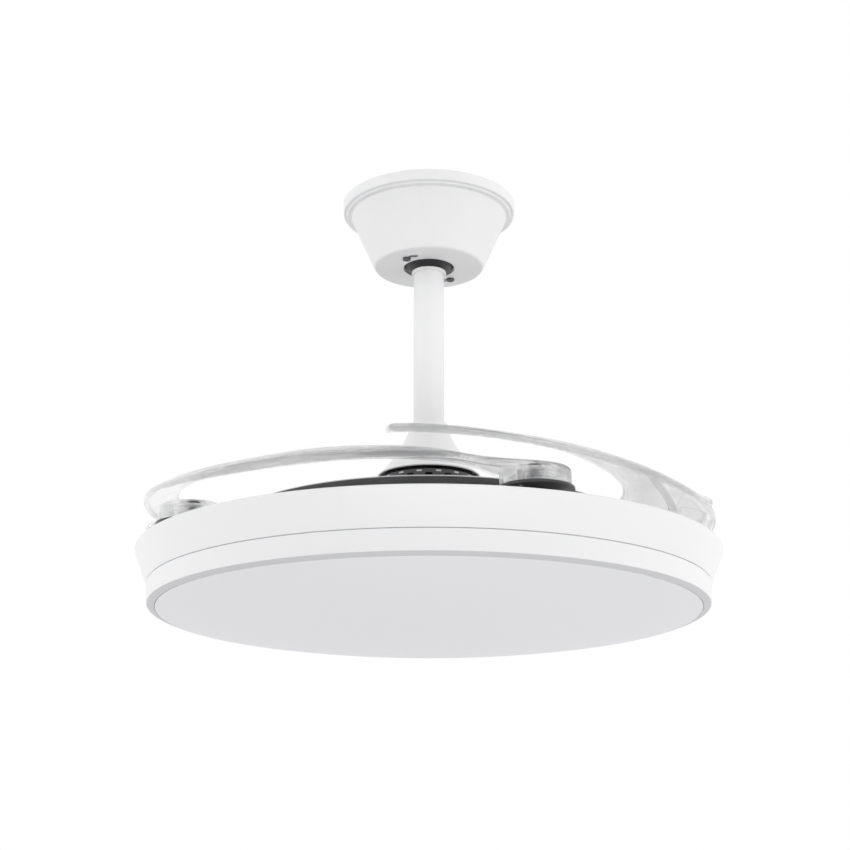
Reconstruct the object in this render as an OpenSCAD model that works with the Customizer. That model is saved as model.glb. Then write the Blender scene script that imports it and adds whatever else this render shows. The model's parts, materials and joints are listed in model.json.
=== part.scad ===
// Retractable blade ceiling fan with a round lamp under it.
// Origin: centre of the bracket's ceiling face. +Z is up, so the fan hangs along -Z.
// Seen as photographed, the view runs along +Y and +X points to the right.
// Four clear blades lie folded over the lamp and swing out when the rotor turns.

/* [Canopy] */
// Gap between the ceiling and the canopy's edge
ceiling_gap = 1; // [0.5:0.5:3]
// Radius of the canopy's flange
canopy_r = 78.8; // [76:0.2:90]
// Height of the canopy
canopy_h = 61.6; // [60.5:0.1:62]
// Height of the flange's upright edge
canopy_flange_h = 10; // [5:0.5:14]
// Height of the sloping step under the flange
canopy_step_h = 2.2; // [2:0.1:6]
// Radius of the cone just under the step
canopy_cone_r = 71; // [69:0.2:74]
// Radius at the bottom of the cone
canopy_base_r = 49.5; // [47:0.5:56]
// Wall of the canopy
canopy_wall = 1.2; // [0.8:0.1:1.4]
// Radius of the opening for the ball
canopy_hole_r = 22.4; // [22.4:0.2:24]
// Radius at which the canopy screws sit
canopy_screw_r = 31.5; // [31:0.5:33]
// Direction of the first canopy screw
canopy_screw_angle = 51; // [46:1:60]

/* [Hanger bracket] */
// Length of the plate on the ceiling
bracket_l = 112; // [106:1:124]
// Width of the bracket
bracket_w = 40; // [36:1:44]
// Thickness of the bracket's steel
bracket_t = 2.5; // [2:0.25:3]
// Distance from the axis to each leg's inner face
leg_x = 36; // [35:0.5:37]
// Distance between the two ceiling slots
slot_spacing = 92; // [90:1:94]
// Length of a ceiling slot
slot_l = 14; // [11:1:15]
// Half width of a ceiling slot
slot_r = 2.75; // [2.25:0.25:3.25]
// Thickness of the cradle under the ball
cradle_t = 3.5; // [3:0.1:3.6]
// Radius of the cradle
cradle_r = 40; // [39:0.5:42]

/* [Ball and downrod] */
// Radius of the hanger ball
ball_r = 30; // [29.5:0.1:30.2]
// Depth of the ball's centre below the ceiling
ball_drop = 40; // [39.8:0.1:40.4]
// Thickness of the liner between ball and cradle
liner_t = 1.45; // [1.2:0.05:1.6]
// Height of the rod's end above the ball's centre
rod_above = 22; // [21:0.5:25]
// Outer radius of the downrod
rod_r = 13.6; // [12.5:0.05:13.7]
// Wall of the downrod
rod_wall = 2; // [1.5:0.25:3]
// Length of the downrod
rod_l = 230; // [150:5:600]
// Outer radius of the light ring under the ball
rod_ring_r = 15.6; // [15:0.1:16]
// Height of that ring
rod_ring_h = 3; // [2:0.5:4]

/* [Bell and yoke] */
// Height of the bell collar
bell_h = 49.5; // [46:0.5:60]
// Outer radius at the bell's top
bell_top_r = 16.2; // [15.6:0.1:18]
// Outer radius at the bell's mouth
bell_mouth_r = 45; // [44:0.5:50]
// How late the bell flares out (1 is a straight cone)
bell_flare = 1.48; // [1.2:0.02:1.6]
// Wall of the bell
bell_wall = 1.4; // [1:0.1:1.8]
// Depth of the rod in the yoke
yoke_socket = 20; // [18:0.5:22]
// Outer radius of the yoke's socket
yoke_r = 18; // [17.5:0.1:18.4]
// Radius of the yoke's flange, which carries the bell
flange_r = 38.5; // [37:0.5:39]

/* [Motor] */
// Gap between the still yoke and the turning motor
motor_gap = 1.5; // [1:0.25:3]
// Height of the motor
motor_h = 66; // [66:1:80]
// Outer radius of the motor
motor_r = 72; // [71:0.5:74]
// Radius of the motor's neck
neck_r = 42; // [40:0.5:44]
// Wall of the motor's covers
motor_wall = 3; // [2:0.5:3]
// Outer radius of the fixed shaft
shaft_r = 8.5; // [8:0.25:9]
// Radius of the shaft's wire bore
shaft_bore_r = 5; // [4:0.5:6]
// Outer radius of a bearing
bearing_r = 20; // [19:0.5:21]
// Width of a bearing
bearing_w = 12; // [10:0.5:12]
// Number of stator teeth
teeth = 12; // [9:3:18]
// Number of magnets
magnets = 16; // [12:2:20]

/* [Rotor hub] */
// Outer radius of the black hub dish
hub_r = 171; // [165:1:175]
// Height of the hub's top above the lamp's rim
hub_rise = 28.6; // [28:0.2:30]
// Thickness of the hub's sheet
hub_t = 2.5; // [2:0.25:3]
// Distance of the blade pivots from the fan's axis
pivot_r = 209; // [208:0.5:210]
// Direction of the first blade's pivot
pivot_angle = -67.5; // [-180:0.5:180]
// Radius of a hub ear
ear_r = 30.5; // [29.5:0.5:33]
// Height of an ear's top above the lamp's rim
ear_rise = 11; // [10:0.2:11.4]
// Radius of a pivot post
post_r = 4; // [3.5:0.25:4.5]

/* [Blades] */
// Angle through which a blade swings out
blade_open = 95; // [80:1:95]
// Sweep of a folded blade, from its pivot to its tip
blade_sweep = 120; // [110:1:120]
// How far the folded blade's outer edge lies inside the lamp's rim
blade_inset = 6; // [4:0.5:7]
// Height of the outer edge above the lamp's rim, near the root
blade_low = 21.7; // [21.5:0.1:23.5]
// Rise of the outer edge from root to tip
blade_climb = 19.4; // [16:0.2:21]
// Height of the turned-down outer lip
lip_h = 4.8; // [4:0.2:5.4]
// Thickness of the lip
lip_t = 3; // [2.4:0.2:4]
// Thickness of the blade's sheet
sheet_t = 2.6; // [2:0.1:2.8]
// Crown of the sheet across its width
camber = 1.5; // [0:0.1:2.5]
// Radius of the boss at the blade's root
boss_r = 27.5; // [27:0.5:28.5]
// Height of that boss
boss_h = 14.4; // [14:0.2:14.8]

/* [Lamp] */
// Radius of the lamp's top rim
lamp_r = 250; // [248:0.5:254]
// How far the groove lies inside the rim
ring_taper = 10.7; // [9:0.1:12]
// Height of the upper ring
upper_h = 29.4; // [27:0.2:32]
// Height of the groove between the rings
groove_h = 0.8; // [0.6:0.1:1.2]
// Height of the lower ring
lower_h = 16.2; // [15.4:0.2:18]
// Wall of both rings
lamp_wall = 1.6; // [1.2:0.1:1.8]
// How far the lower ring narrows below the groove
lower_taper = 1.1; // [0.4:0.1:2]
// Width of the grey lip round the diffuser
lip_w = 6.9; // [6:0.1:8]
// How far the diffuser bulges below the ring
diffuser_sag = 24; // [16:1:36]
// Wall of the diffuser
diffuser_t = 2; // [1.5:0.25:2.5]
// Gap between the motor's bottom and the lamp's rim
rim_gap = 4; // [3:0.5:6]

/* [Hidden] */
$fn = 96;

// Clearances
run_gap = 0.05;   // radial gap of a shaft that turns in its bore
fit_gap = 0.1;    // gap of a screw or pin in its hole
seat_gap = 0.3;   // gap between faces that move past each other
eps = 0.01;       // overlap that keeps cuts clean

// Colours
white = [0.94, 0.94, 0.94];
black = [0.13, 0.13, 0.14];
steel = [0.66, 0.67, 0.69];
dark_steel = [0.30, 0.30, 0.32];
copper = [0.75, 0.42, 0.22];
clear = [0.86, 0.90, 0.92, 0.45];
nylon = [0.88, 0.87, 0.82];
opal = [0.90, 0.90, 0.91];
rubber = [0.18, 0.18, 0.18];

// Screws of the canopy
canopy_head_r = 3.5;
canopy_shank_r = 2;

// Heights of the hanger
canopy_top_z = -ceiling_gap;
canopy_bot_z = canopy_top_z - canopy_h;
cradle_bot_z = canopy_bot_z + canopy_wall + 0.4;
ball_z = -ball_drop;
liner_r = ball_r + run_gap + liner_t;
cradle_seat_r = liner_r + run_gap;
rod_top_z = ball_z + rod_above;
rod_bot_z = rod_top_z - rod_l;
ball_flat_z = ball_z + rod_above - 4;
ball_foot_z = ball_z - sqrt(ball_r * ball_r - pow(rod_r + 0.7, 2));

// Heights of the yoke and the bell
yoke_web = 8;      // solid part under the rod
flange_t = 3;
yoke_foot = 1.5;   // short boss under the flange
flange_top_z = rod_bot_z - yoke_web;
flange_bot_z = flange_top_z - flange_t;
yoke_bot_z = flange_bot_z - yoke_foot;
yoke_top_z = rod_bot_z + yoke_socket;
bell_bot_z = yoke_bot_z;
bell_top_z = bell_bot_z + bell_h;
yoke_pin_r = 3;
yoke_pin_z = rod_bot_z + yoke_socket / 2;
yoke_pin_l = 45;

// Heights of the motor
motor_top_z = yoke_bot_z - motor_gap;
motor_bot_z = motor_top_z - motor_h;
rim_z = motor_bot_z - rim_gap;
neck_h = 8;
shoulder_h = 12;
roof_t = 3.5;
cover_flange_t = 3;
cover_flange_r = motor_r + 8;
upper_bearing_z = motor_top_z - 6 - bearing_w;
lower_bearing_z = motor_bot_z + 3.5;
stator_drop = 2.2;   // keeps the windings clear of the cover's shoulder
stator_mid_z = (upper_bearing_z + lower_bearing_z + bearing_w) / 2 - stator_drop;
stator_h = 20;
magnet_h = 23;
magnet_t = 4.5;
air_gap = 0.8;
stator_r = motor_r - motor_wall - magnet_t - air_gap;
shaft_hole_r = shaft_r + 3.5;

// Heights of the hub and the blade pivots
hub_top_z = rim_z + hub_rise;
hub_seat_z = hub_top_z - hub_t;
ear_top_z = rim_z + ear_rise;
ear_bot_z = ear_top_z - hub_t;
hub_flange_r = motor_r + 13;
hub_screw_r = motor_r + 7;
boss_z = ear_top_z + seat_gap + 0.1;
boss_top_z = boss_z + boss_h;
boss_wall = 2.4;
boss_roof = 3;
tube_r = 10;       // tube round the bush, inside the boss
bush_r = 6.5;
rib_inner_r = 17;  // the rib that meets the stop pegs
rib_t = 3;
rib_angle = 200;   // direction of the rib when the blade is folded
peg_r = 2.2;
peg_ring_r = 22.5;
peg_shank_r = 1.4;
peg_step = (rib_t / 2 + peg_r + seat_gap) / peg_ring_r * 180 / PI;
peg_angles = [rib_angle - peg_step, rib_angle + blade_open + peg_step];

// Heights and radii of the lamp
groove_r = lamp_r - ring_taper;
lower_r = groove_r - lower_taper;
blade_outer_r = lamp_r - blade_inset;
pan_drop = 3;      // the lamp's top lies this far below its rim
pan_t = 1.5;
pan_bot_z = rim_z - pan_drop - pan_t;
upper_bot_z = rim_z - upper_h;
lower_top_z = upper_bot_z - groove_h;
lower_bot_z = lower_top_z - lower_h;
hook_z = upper_bot_z + 6;   // top of the lower ring's inner hooks
hook_t = 1.2;
tray_t = 1.5;
tray_r = groove_r - 9.8;
tab_r = groove_r - 2 * lamp_wall - 0.4;   // reach of the tray's tabs
tray_top_z = rim_z - 29;
standoff_r = 4.5;
standoff_ring_r = 0.6 * lamp_r;
shaft_bot_z = rim_z - 12.5;
nut_r = 14;
nut_h = 4;
light_bracket_r = 70;
light_bracket_t = 2.5;
driver_l = 112;
driver_w = 52;
driver_h = 14;
driver_foot_l = 20;
driver_foot_t = 2;
driver_screw_x = driver_l / 2 + driver_foot_l / 2;

// Smooth step from 0 to 1
function ease(t) = let (u = min(max(t, 0), 1)) u * u * (3 - 2 * u);
// Weighted mean of a and b
function mix(a, b, t) = a + (b - a) * t;
// Slope of a point list at point i, for curve()
function knot_slope(p, i) = let (a = max(i - 1, 0), b = min(i + 1, len(p) - 1))
    (p[b][1] - p[a][1]) / (p[b][0] - p[a][0]);
// Smooth curve through the points p, read at x
function curve(x, p) = let (
    i = max([for (k = [0 : len(p) - 2]) if (x >= p[k][0] || k == 0) k]),
    w = p[i + 1][0] - p[i][0], t = min(max((x - p[i][0]) / w, 0), 1),
    a = knot_slope(p, i) * w, b = knot_slope(p, i + 1) * w)
    (2 * t * t * t - 3 * t * t + 1) * p[i][1] + (t * t * t - 2 * t * t + t) * a
    + (3 * t * t - 2 * t * t * t) * p[i + 1][1] + (t * t * t - t * t) * b;
// Turns a radius, a sweep angle (clockwise from the pivot) and a height into a point
function swept(r, a, z) = [r * cos(a), -r * sin(a), z];

// ---- Shared pieces ----

// Puts children at each blade pivot; with i given, at that pivot only
module at_pivots(i = -1) {
    for (k = i < 0 ? [0 : 3] : [i])
        rotate([0, 0, pivot_angle + 90 * k]) translate([pivot_r, 0, 0]) children();
}

// Puts n copies of the children on a circle
module ring_of(n, r, start = 0) {
    for (k = [0 : n - 1]) rotate([0, 0, start + 360 * k / n]) translate([r, 0, 0]) children();
}

// A plain tube from z0 up to z1
module tube(z0, z1, ro, ri) {
    translate([0, 0, z0]) difference() {
        cylinder(h = z1 - z0, r = ro);
        translate([0, 0, -1]) cylinder(h = z1 - z0 + 2, r = ri);
    }
}

// A pan-head screw whose head's underside is at z = 0, with its shank along -Z
module screw(head_r, head_h, shank_r, length) {
    difference() {
        union() {
            cylinder(h = head_h, r = head_r);
            translate([0, 0, -length]) cylinder(h = length + eps, r = shank_r);
        }
        for (a = [0, 90]) rotate([0, 0, a])
            translate([-head_r * 0.6, -head_r * 0.1, head_h * 0.5])
                cube([head_r * 1.2, head_r * 0.2, head_h]);
    }
}

// A tube of six sides swept along the points p, as one closed solid
module wire(p, r) {
    n = len(p);
    function dir(i) = let (d = p[min(i + 1, n - 1)] - p[max(i - 1, 0)]) d / norm(d);
    function side(i) = let (s = cross(dir(i), [0, 0, 1])) s / norm(s);
    function up(i) = cross(side(i), dir(i));
    rings = [for (i = [0 : n - 1], k = [0 : 5])
        p[i] + r * (cos(60 * k) * side(i) + sin(60 * k) * up(i))];
    sides = [for (i = [0 : n - 2], k = [0 : 5], h = [0, 1]) let (q = (k + 1) % 6)
        h == 0 ? [6 * i + k, 6 * i + q, 6 * i + 6 + k]
               : [6 * i + q, 6 * i + 6 + q, 6 * i + 6 + k]];
    ends = [for (k = [1 : 4], h = [0, 1])
        h == 0 ? [0, k + 1, k] : [6 * n - 6, 6 * n - 6 + k, 6 * n - 5 + k]];
    polyhedron(points = rings, faces = concat(sides, ends));
}

// ---- Ceiling side ----

// Steel bracket: plate with two slots, two legs and a cradle with a round seat
module hanger_bracket() {
    slot_half = slot_l / 2 - slot_r;
    entry = rod_r + 1.2;   // half width of the gap through which the rod goes in
    color(steel) difference() {
        union() {
            translate([-bracket_l / 2, -bracket_w / 2, -bracket_t])
                cube([bracket_l, bracket_w, bracket_t]);
            for (s = [-1, 1])
                translate([s > 0 ? leg_x : -leg_x - bracket_t, -bracket_w / 2, cradle_bot_z])
                    cube([bracket_t, bracket_w, -cradle_bot_z]);
            intersection() {
                translate([0, 0, cradle_bot_z]) cylinder(h = cradle_t, r = cradle_r);
                translate([-leg_x - bracket_t, -cradle_r, cradle_bot_z])
                    cube([2 * (leg_x + bracket_t), 2 * cradle_r, cradle_t]);
            }
        }
        translate([0, 0, ball_z]) sphere(r = cradle_seat_r);
        translate([-entry, 0, cradle_bot_z - 1]) cube([2 * entry, cradle_r + 1, cradle_t + 2]);
        for (s = [-1, 1], e = [-1, 1])
            translate([s * slot_spacing / 2 + e * slot_half, 0, -bracket_t - 1])
                cylinder(h = bracket_t + 2, r = slot_r);
        for (s = [-1, 1])
            translate([s * slot_spacing / 2 - slot_half, -slot_r, -bracket_t - 1])
                cube([2 * slot_half, 2 * slot_r, bracket_t + 2]);
        for (k = [0, 1]) rotate([0, 0, canopy_screw_angle + 180 * k])
            translate([canopy_screw_r, 0, cradle_bot_z - 1])
                cylinder(h = cradle_t + 2, r = canopy_shank_r + fit_gap);
    }
}

// White cup with a stepped flange, an opening that widens upward and two keyholes
module canopy() {
    z1 = canopy_top_z - canopy_flange_h;
    z2 = z1 - canopy_step_h;
    round_r = 3;
    w = canopy_wall;
    slot = canopy_shank_r + 0.2;
    color(white) difference() {
        rotate_extrude() polygon(concat(
            [[canopy_hole_r, canopy_bot_z]],
            [for (a = [-90 : 15 : 0])
                [canopy_base_r - round_r + round_r * cos(a) - 0.4,
                 canopy_bot_z + round_r + round_r * sin(a)]],
            [[canopy_cone_r, z2], [canopy_r - 1, z1], [canopy_r - 0.3, z1 + 1],
             [canopy_r, canopy_top_z - 1], [canopy_r - 1, canopy_top_z],
             [canopy_r - 1 - w, canopy_top_z], [canopy_r - 1 - w, z1 + w],
             [canopy_cone_r - w, z2 + w], [canopy_base_r - w - 0.4, canopy_bot_z + round_r],
             [canopy_base_r - round_r, canopy_bot_z + w],
             [canopy_hole_r + w, canopy_bot_z + w]]));
        for (k = [0, 1]) rotate([0, 0, canopy_screw_angle + 180 * k]) {
            for (a = [0, 5, 10]) rotate([0, 0, a]) translate([canopy_screw_r, 0, canopy_bot_z - 1])
                cylinder(h = w + 2, r = slot);
            rotate([0, 0, 14]) translate([canopy_screw_r, 0, canopy_bot_z - 1])
                cylinder(h = w + 2, r = canopy_head_r + 0.4);
        }
    }
}

// Two screws that hold the canopy up against the cradle
module canopy_screws() {
    color(steel) for (k = [0, 1]) rotate([0, 0, canopy_screw_angle + 180 * k])
        translate([canopy_screw_r, 0, canopy_bot_z]) rotate([180, 0, 0])
            screw(canopy_head_r, 1.9, canopy_shank_r, canopy_wall + 0.4 + cradle_t);
}

// Remote receiver on the bracket's right leg
module receiver_box() {
    x0 = leg_x + bracket_t;
    color(white) difference() {
        translate([x0, -21, -28]) cube([13, 42, 22]);
        for (s = [-1, 1]) translate([x0 + 7, s * 12, -29]) cylinder(h = 5, r = 2.5);
    }
}

// Wire terminals on the bracket's left leg
module terminal_block() {
    x0 = -leg_x - bracket_t - 11;
    color(nylon) difference() {
        translate([x0, -16, -24]) cube([11, 32, 14]);
        for (k = [-1 : 1]) {
            translate([x0 - 1, k * 9, -17]) rotate([0, 90, 0]) cylinder(h = 8, r = 2);
            translate([x0 + 4, k * 9, -25]) cylinder(h = 7, r = 1.8);
        }
    }
}

// Nylon liner, a band of a sphere, on which the ball turns
module ball_liner() {
    top = 8;       // the band runs from this far below the ball's centre
    bottom = min(19.5, ball_z - cradle_bot_z - 1);
    color(nylon) intersection() {
        translate([0, 0, ball_z]) difference() {
            sphere(r = liner_r);
            sphere(r = ball_r + run_gap);
        }
        translate([0, 0, ball_z - bottom]) cylinder(h = bottom - top, r = liner_r + 1);
    }
}

// ---- Rod side ----

// Black ball, bored for the rod, with a groove for the cross pin
module hanger_ball() {
    color(black) difference() {
        intersection() {
            translate([0, 0, ball_z]) sphere(r = ball_r);
            translate([0, 0, ball_foot_z]) cylinder(h = ball_flat_z - ball_foot_z, r = ball_r);
        }
        translate([0, 0, ball_z - ball_r]) cylinder(h = 2 * ball_r, r = rod_r + fit_gap);
        translate([-ball_r, 0, ball_flat_z]) rotate([0, 90, 0])
            cylinder(h = 2 * ball_r, r = 2.5 + fit_gap);
    }
}

// Pin through the rod, lying in the ball's groove
module ball_cross_pin() {
    color(steel) translate([-22, 0, ball_flat_z]) rotate([0, 90, 0]) cylinder(h = 44, r = 2.5);
}

// Light ring where the rod leaves the ball
module rod_ring() {
    color(white) tube(ball_foot_z - rod_ring_h, ball_foot_z, rod_ring_r, rod_r + fit_gap);
}

// White steel tube, drilled for the cross pin and the yoke pin
module downrod() {
    color(white) difference() {
        tube(rod_bot_z, rod_top_z, rod_r, rod_r - rod_wall);
        translate([-ball_r, 0, ball_flat_z]) rotate([0, 90, 0])
            cylinder(h = 2 * ball_r, r = 2.5 + fit_gap);
        translate([-ball_r, 0, yoke_pin_z]) rotate([0, 90, 0])
            cylinder(h = 2 * ball_r, r = yoke_pin_r + fit_gap);
    }
}

// Outer radius of the bell at the share t of the way down
function bell_radius(t) = mix(bell_top_r, bell_mouth_r, pow(t, bell_flare));

// White flared cover that rests on the yoke's flange by an inner ledge
module bell_collar() {
    steps = 16;
    outer = [for (i = [0 : steps]) let (t = i / steps)
        [bell_radius(t), mix(bell_top_z, bell_bot_z, t)]];
    inner = [for (i = [steps : -1 : 0]) let (t = i / steps)
        [max(bell_radius(t) - bell_wall, rod_r + 0.4), mix(bell_top_z, bell_bot_z, t)]];
    ledge_t = 1.6;
    ledge_r = bell_radius((bell_top_z - flange_top_z - ledge_t) / bell_h) - 0.3;
    color(white) {
        rotate_extrude() polygon(concat(outer, inner));
        tube(flange_top_z, flange_top_z + ledge_t, ledge_r, ledge_r - 4);
    }
}

// Black coupling: socket for the rod, flange for the bell, bore for the shaft
module yoke() {
    color(black) difference() {
        union() {
            translate([0, 0, flange_bot_z]) cylinder(h = yoke_top_z - flange_bot_z, r = yoke_r);
            translate([0, 0, flange_bot_z]) cylinder(h = flange_t, r = flange_r);
            translate([0, 0, yoke_bot_z]) cylinder(h = yoke_foot + 1, r = 14);
        }
        translate([0, 0, rod_bot_z]) cylinder(h = yoke_socket + 1, r = rod_r + fit_gap);
        translate([0, 0, yoke_bot_z - 1]) cylinder(h = yoke_web + 10, r = shaft_r + run_gap);
        translate([-yoke_r - 1, 0, yoke_pin_z]) rotate([0, 90, 0])
            cylinder(h = 2 * yoke_r + 2, r = yoke_pin_r + fit_gap);
        for (a = [90, 270]) rotate([0, 0, a]) translate([0, 0, set_screw_z()])
            rotate([0, 90, 0]) cylinder(h = yoke_r + 1, r = 2.5 + fit_gap);
        ring_of(4, 28, 45) translate([0, 0, flange_bot_z - 1]) cylinder(h = flange_t + 2, r = 3);
    }
}

// Height of the yoke's set screws
function set_screw_z() = flange_top_z + yoke_web / 2;

// Pin through yoke and rod, with a head at one end and a hole at the other
module yoke_pin() {
    x0 = -yoke_pin_l / 2;
    color(steel) difference() {
        union() {
            translate([x0, 0, yoke_pin_z]) rotate([0, 90, 0])
                cylinder(h = yoke_pin_l, r = yoke_pin_r);
            translate([x0, 0, yoke_pin_z]) rotate([0, 90, 0])
                cylinder(h = 2, r = yoke_pin_r + 1.4);
        }
        translate([-x0 - 3, 0, yoke_pin_z - 5]) cylinder(h = 10, r = 1);
    }
}

// Wire clip through the end of the yoke pin
module yoke_clip() {
    x = yoke_pin_l / 2 - 3;
    color(steel) {
        translate([x, 0, yoke_pin_z - 4.5]) cylinder(h = 9, r = 0.9);
        translate([x + 1.5, 0, yoke_pin_z - 4.5]) rotate([90, 0, 0])
            rotate([0, 0, 180]) rotate_extrude(angle = 180)
                translate([1.5, 0]) circle(r = 0.9);
    }
}

// Two set screws that grip the motor's shaft
module yoke_set_screws() {
    color(dark_steel) for (a = [90, 270]) rotate([0, 0, a]) translate([0, 0, set_screw_z()])
        rotate([0, 90, 0]) translate([0, 0, shaft_r]) difference() {
            cylinder(h = yoke_r - shaft_r, r = 2.5);
            translate([0, 0, yoke_r - shaft_r - 2]) cylinder(h = 3, r = 1.3, $fn = 6);
        }
}

// Hollow shaft that stays still and carries stator and lamp
module motor_shaft() {
    color(steel) tube(shaft_bot_z, rod_bot_z - 1, shaft_r, shaft_bore_r);
}

// Laminated core with T-shaped teeth
module stator_core() {
    root_r = 34;
    color(steel) translate([0, 0, stator_mid_z - stator_h / 2]) difference() {
        union() {
            cylinder(h = stator_h, r = root_r);
            intersection() {
                cylinder(h = stator_h, r = stator_r);
                for (k = [0 : teeth - 1]) rotate([0, 0, 360 * k / teeth]) {
                    translate([root_r - 2, -4, 0]) cube([stator_r - root_r + 2, 8, stator_h]);
                    translate([stator_r - 3, -11 * 12 / teeth, 0])
                        cube([4, 22 * 12 / teeth, stator_h]);
                }
            }
        }
        translate([0, 0, -1]) cylinder(h = stator_h + 2, r = shaft_r);
    }
}

// One winding round each tooth
module stator_coils() {
    coil_l = stator_r - 38.5;
    color(copper) ring_of(teeth, 35) difference() {
        translate([0, -7.2 * 12 / teeth, stator_mid_z - stator_h / 2 - 4])
            cube([coil_l, 14.4 * 12 / teeth, stator_h + 8]);
        translate([-1, -4, stator_mid_z - stator_h / 2]) cube([coil_l + 2, 8, stator_h]);
    }
}

// Two nuts on the shaft that clamp the lamp's top and its bracket
module shaft_nuts() {
    color(steel) for (z = [rim_z - pan_drop, pan_bot_z - light_bracket_t - nut_h])
        translate([0, 0, z]) difference() {
            cylinder(h = nut_h, r = nut_r, $fn = 6);
            translate([0, 0, -1]) cylinder(h = nut_h + 2, r = shaft_r);
        }
}

// ---- Lamp ----

// Round steel plate that spreads the lamp's weight under its top
module light_bracket() {
    color(steel) difference() {
        tube(pan_bot_z - light_bracket_t, pan_bot_z, light_bracket_r, shaft_r + fit_gap);
        ring_of(4, 55, 45) translate([0, 0, pan_bot_z - light_bracket_t - 1])
            cylinder(h = light_bracket_t + 2, r = 2.1);
        ring_of(4, 36) translate([0, 0, pan_bot_z - light_bracket_t - 1])
            cylinder(h = light_bracket_t + 2, r = 9);
    }
}

// Screws that join the bracket to the lamp's top
module bracket_screws() {
    color(steel) ring_of(4, 55, 45) translate([0, 0, pan_bot_z - light_bracket_t])
        rotate([180, 0, 0]) screw(4, 2.2, 2, pan_t + light_bracket_t);
}

// Outer radius of the upper ring at a depth below the rim
function upper_radius(d) = mix(lamp_r, groove_r, (d - 1) / (upper_h - 1));

// White body: flat top, rolled rim and tapering wall
module upper_ring() {
    z = rim_z;
    d = pan_drop + pan_t;
    color(white) difference() {
        rotate_extrude($fn = 180) polygon([
            [shaft_r + fit_gap, z - pan_drop], [lamp_r - 7, z - pan_drop], [lamp_r - 5.5, z],
            [lamp_r - 1, z], [lamp_r - 0.3, z - 0.3], [lamp_r, z - 1],
            [groove_r, upper_bot_z], [groove_r - lamp_wall, upper_bot_z],
            [upper_radius(d) - lamp_wall, z - d], [shaft_r + fit_gap, z - d]]);
        ring_of(4, 55, 45) translate([0, 0, z - d - 1]) cylinder(h = pan_t + 2, r = 2.1);
        ring_of(4, standoff_ring_r, 45) translate([0, 0, z - d - 1])
            cylinder(h = pan_t + 2, r = 2.1);
    }
}

// Four posts between the lamp's top and its tray
module led_standoffs() {
    color(steel) ring_of(4, standoff_ring_r, 45) tube(tray_top_z, pan_bot_z, standoff_r, 2);
}

// Screws into both ends of the standoffs
module standoff_screws() {
    color(steel) ring_of(4, standoff_ring_r, 45) {
        translate([0, 0, rim_z - pan_drop]) screw(4, 2.2, 1.95, pan_t + 7);
        translate([0, 0, tray_top_z - tray_t]) rotate([180, 0, 0]) screw(4, 2.2, 1.95, tray_t + 7);
    }
}

// White reflector tray with an upturned edge and three tabs that carry the lower ring
module led_tray() {
    tab_z = hook_z - hook_t;
    color(white) difference() {
        union() {
            translate([0, 0, tray_top_z - tray_t]) cylinder(h = tray_t, r = tray_r);
            tube(tray_top_z - tray_t, tab_z, tray_r, tray_r - tray_t);
            for (k = [0 : 2]) rotate([0, 0, 90 + 120 * k - 12])
                translate([0, 0, tab_z - tray_t]) rotate_extrude(angle = 24)
                    translate([tray_r - tray_t, 0]) square([tab_r - tray_r + tray_t, tray_t]);
        }
        ring_of(4, standoff_ring_r, 45) translate([0, 0, tray_top_z - tray_t - 1])
            cylinder(h = tray_t + 2, r = 2.1);
        for (s = [-1, 1]) translate([s * 66, 0, tray_top_z - tray_t - 1])
            cylinder(h = tray_t + 2, r = 1.6);
    }
}

// Round emitters on the underside of the tray, in three circles
module led_emitters() {
    color(opal) translate([0, 0, tray_top_z - tray_t - 2.4]) {
        for (row = [[12, 0.3], [22, 0.54], [32, 0.82]])
            ring_of(row[0], row[1] * tray_r) cylinder(h = 2.4, r = 5, $fn = 24);
    }
}

// Driver box that feeds the emitters, on top of the tray
module led_driver() {
    color(white) translate([0, 0, tray_top_z]) difference() {
        union() {
            translate([-driver_l / 2, -driver_w / 2, 0]) cube([driver_l, driver_w, driver_h]);
            for (s = [-1, 1])
                translate([s * (driver_screw_x - 2) - driver_foot_l / 2, -driver_foot_l / 2, 0])
                    cube([driver_foot_l, driver_foot_l, driver_foot_t]);
        }
        for (s = [-1, 1]) translate([s * driver_screw_x, 0, -1])
            cylinder(h = driver_foot_t + 2, r = 1.7);
    }
}

// Screws through the driver's two feet
module driver_screws() {
    color(steel) for (s = [-1, 1])
        translate([s * driver_screw_x, 0, tray_top_z + driver_foot_t])
            screw(3.2, 1.8, 1.5, driver_foot_t + tray_t);
}

// White ring that holds the diffuser; its inner hooks hang on the tray's tabs
module lower_ring() {
    wall_r = groove_r - lamp_wall - 0.1;
    in_r = lower_r - lip_w;
    round_r = 1.6;
    color(white) rotate_extrude($fn = 180) polygon(concat(
        [[in_r, lower_bot_z]],
        [for (a = [-90 : 30 : 0]) [lower_r - round_r + round_r * cos(a),
                                   lower_bot_z + round_r + round_r * sin(a)]],
        [[groove_r, lower_top_z], [wall_r, lower_top_z], [wall_r, hook_z],
         [wall_r - 5, hook_z], [wall_r - 5, hook_z - hook_t],
         [wall_r - lamp_wall, hook_z - hook_t], [wall_r - lamp_wall, lower_bot_z + lamp_wall],
         [in_r, lower_bot_z + lamp_wall]]));
}

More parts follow.
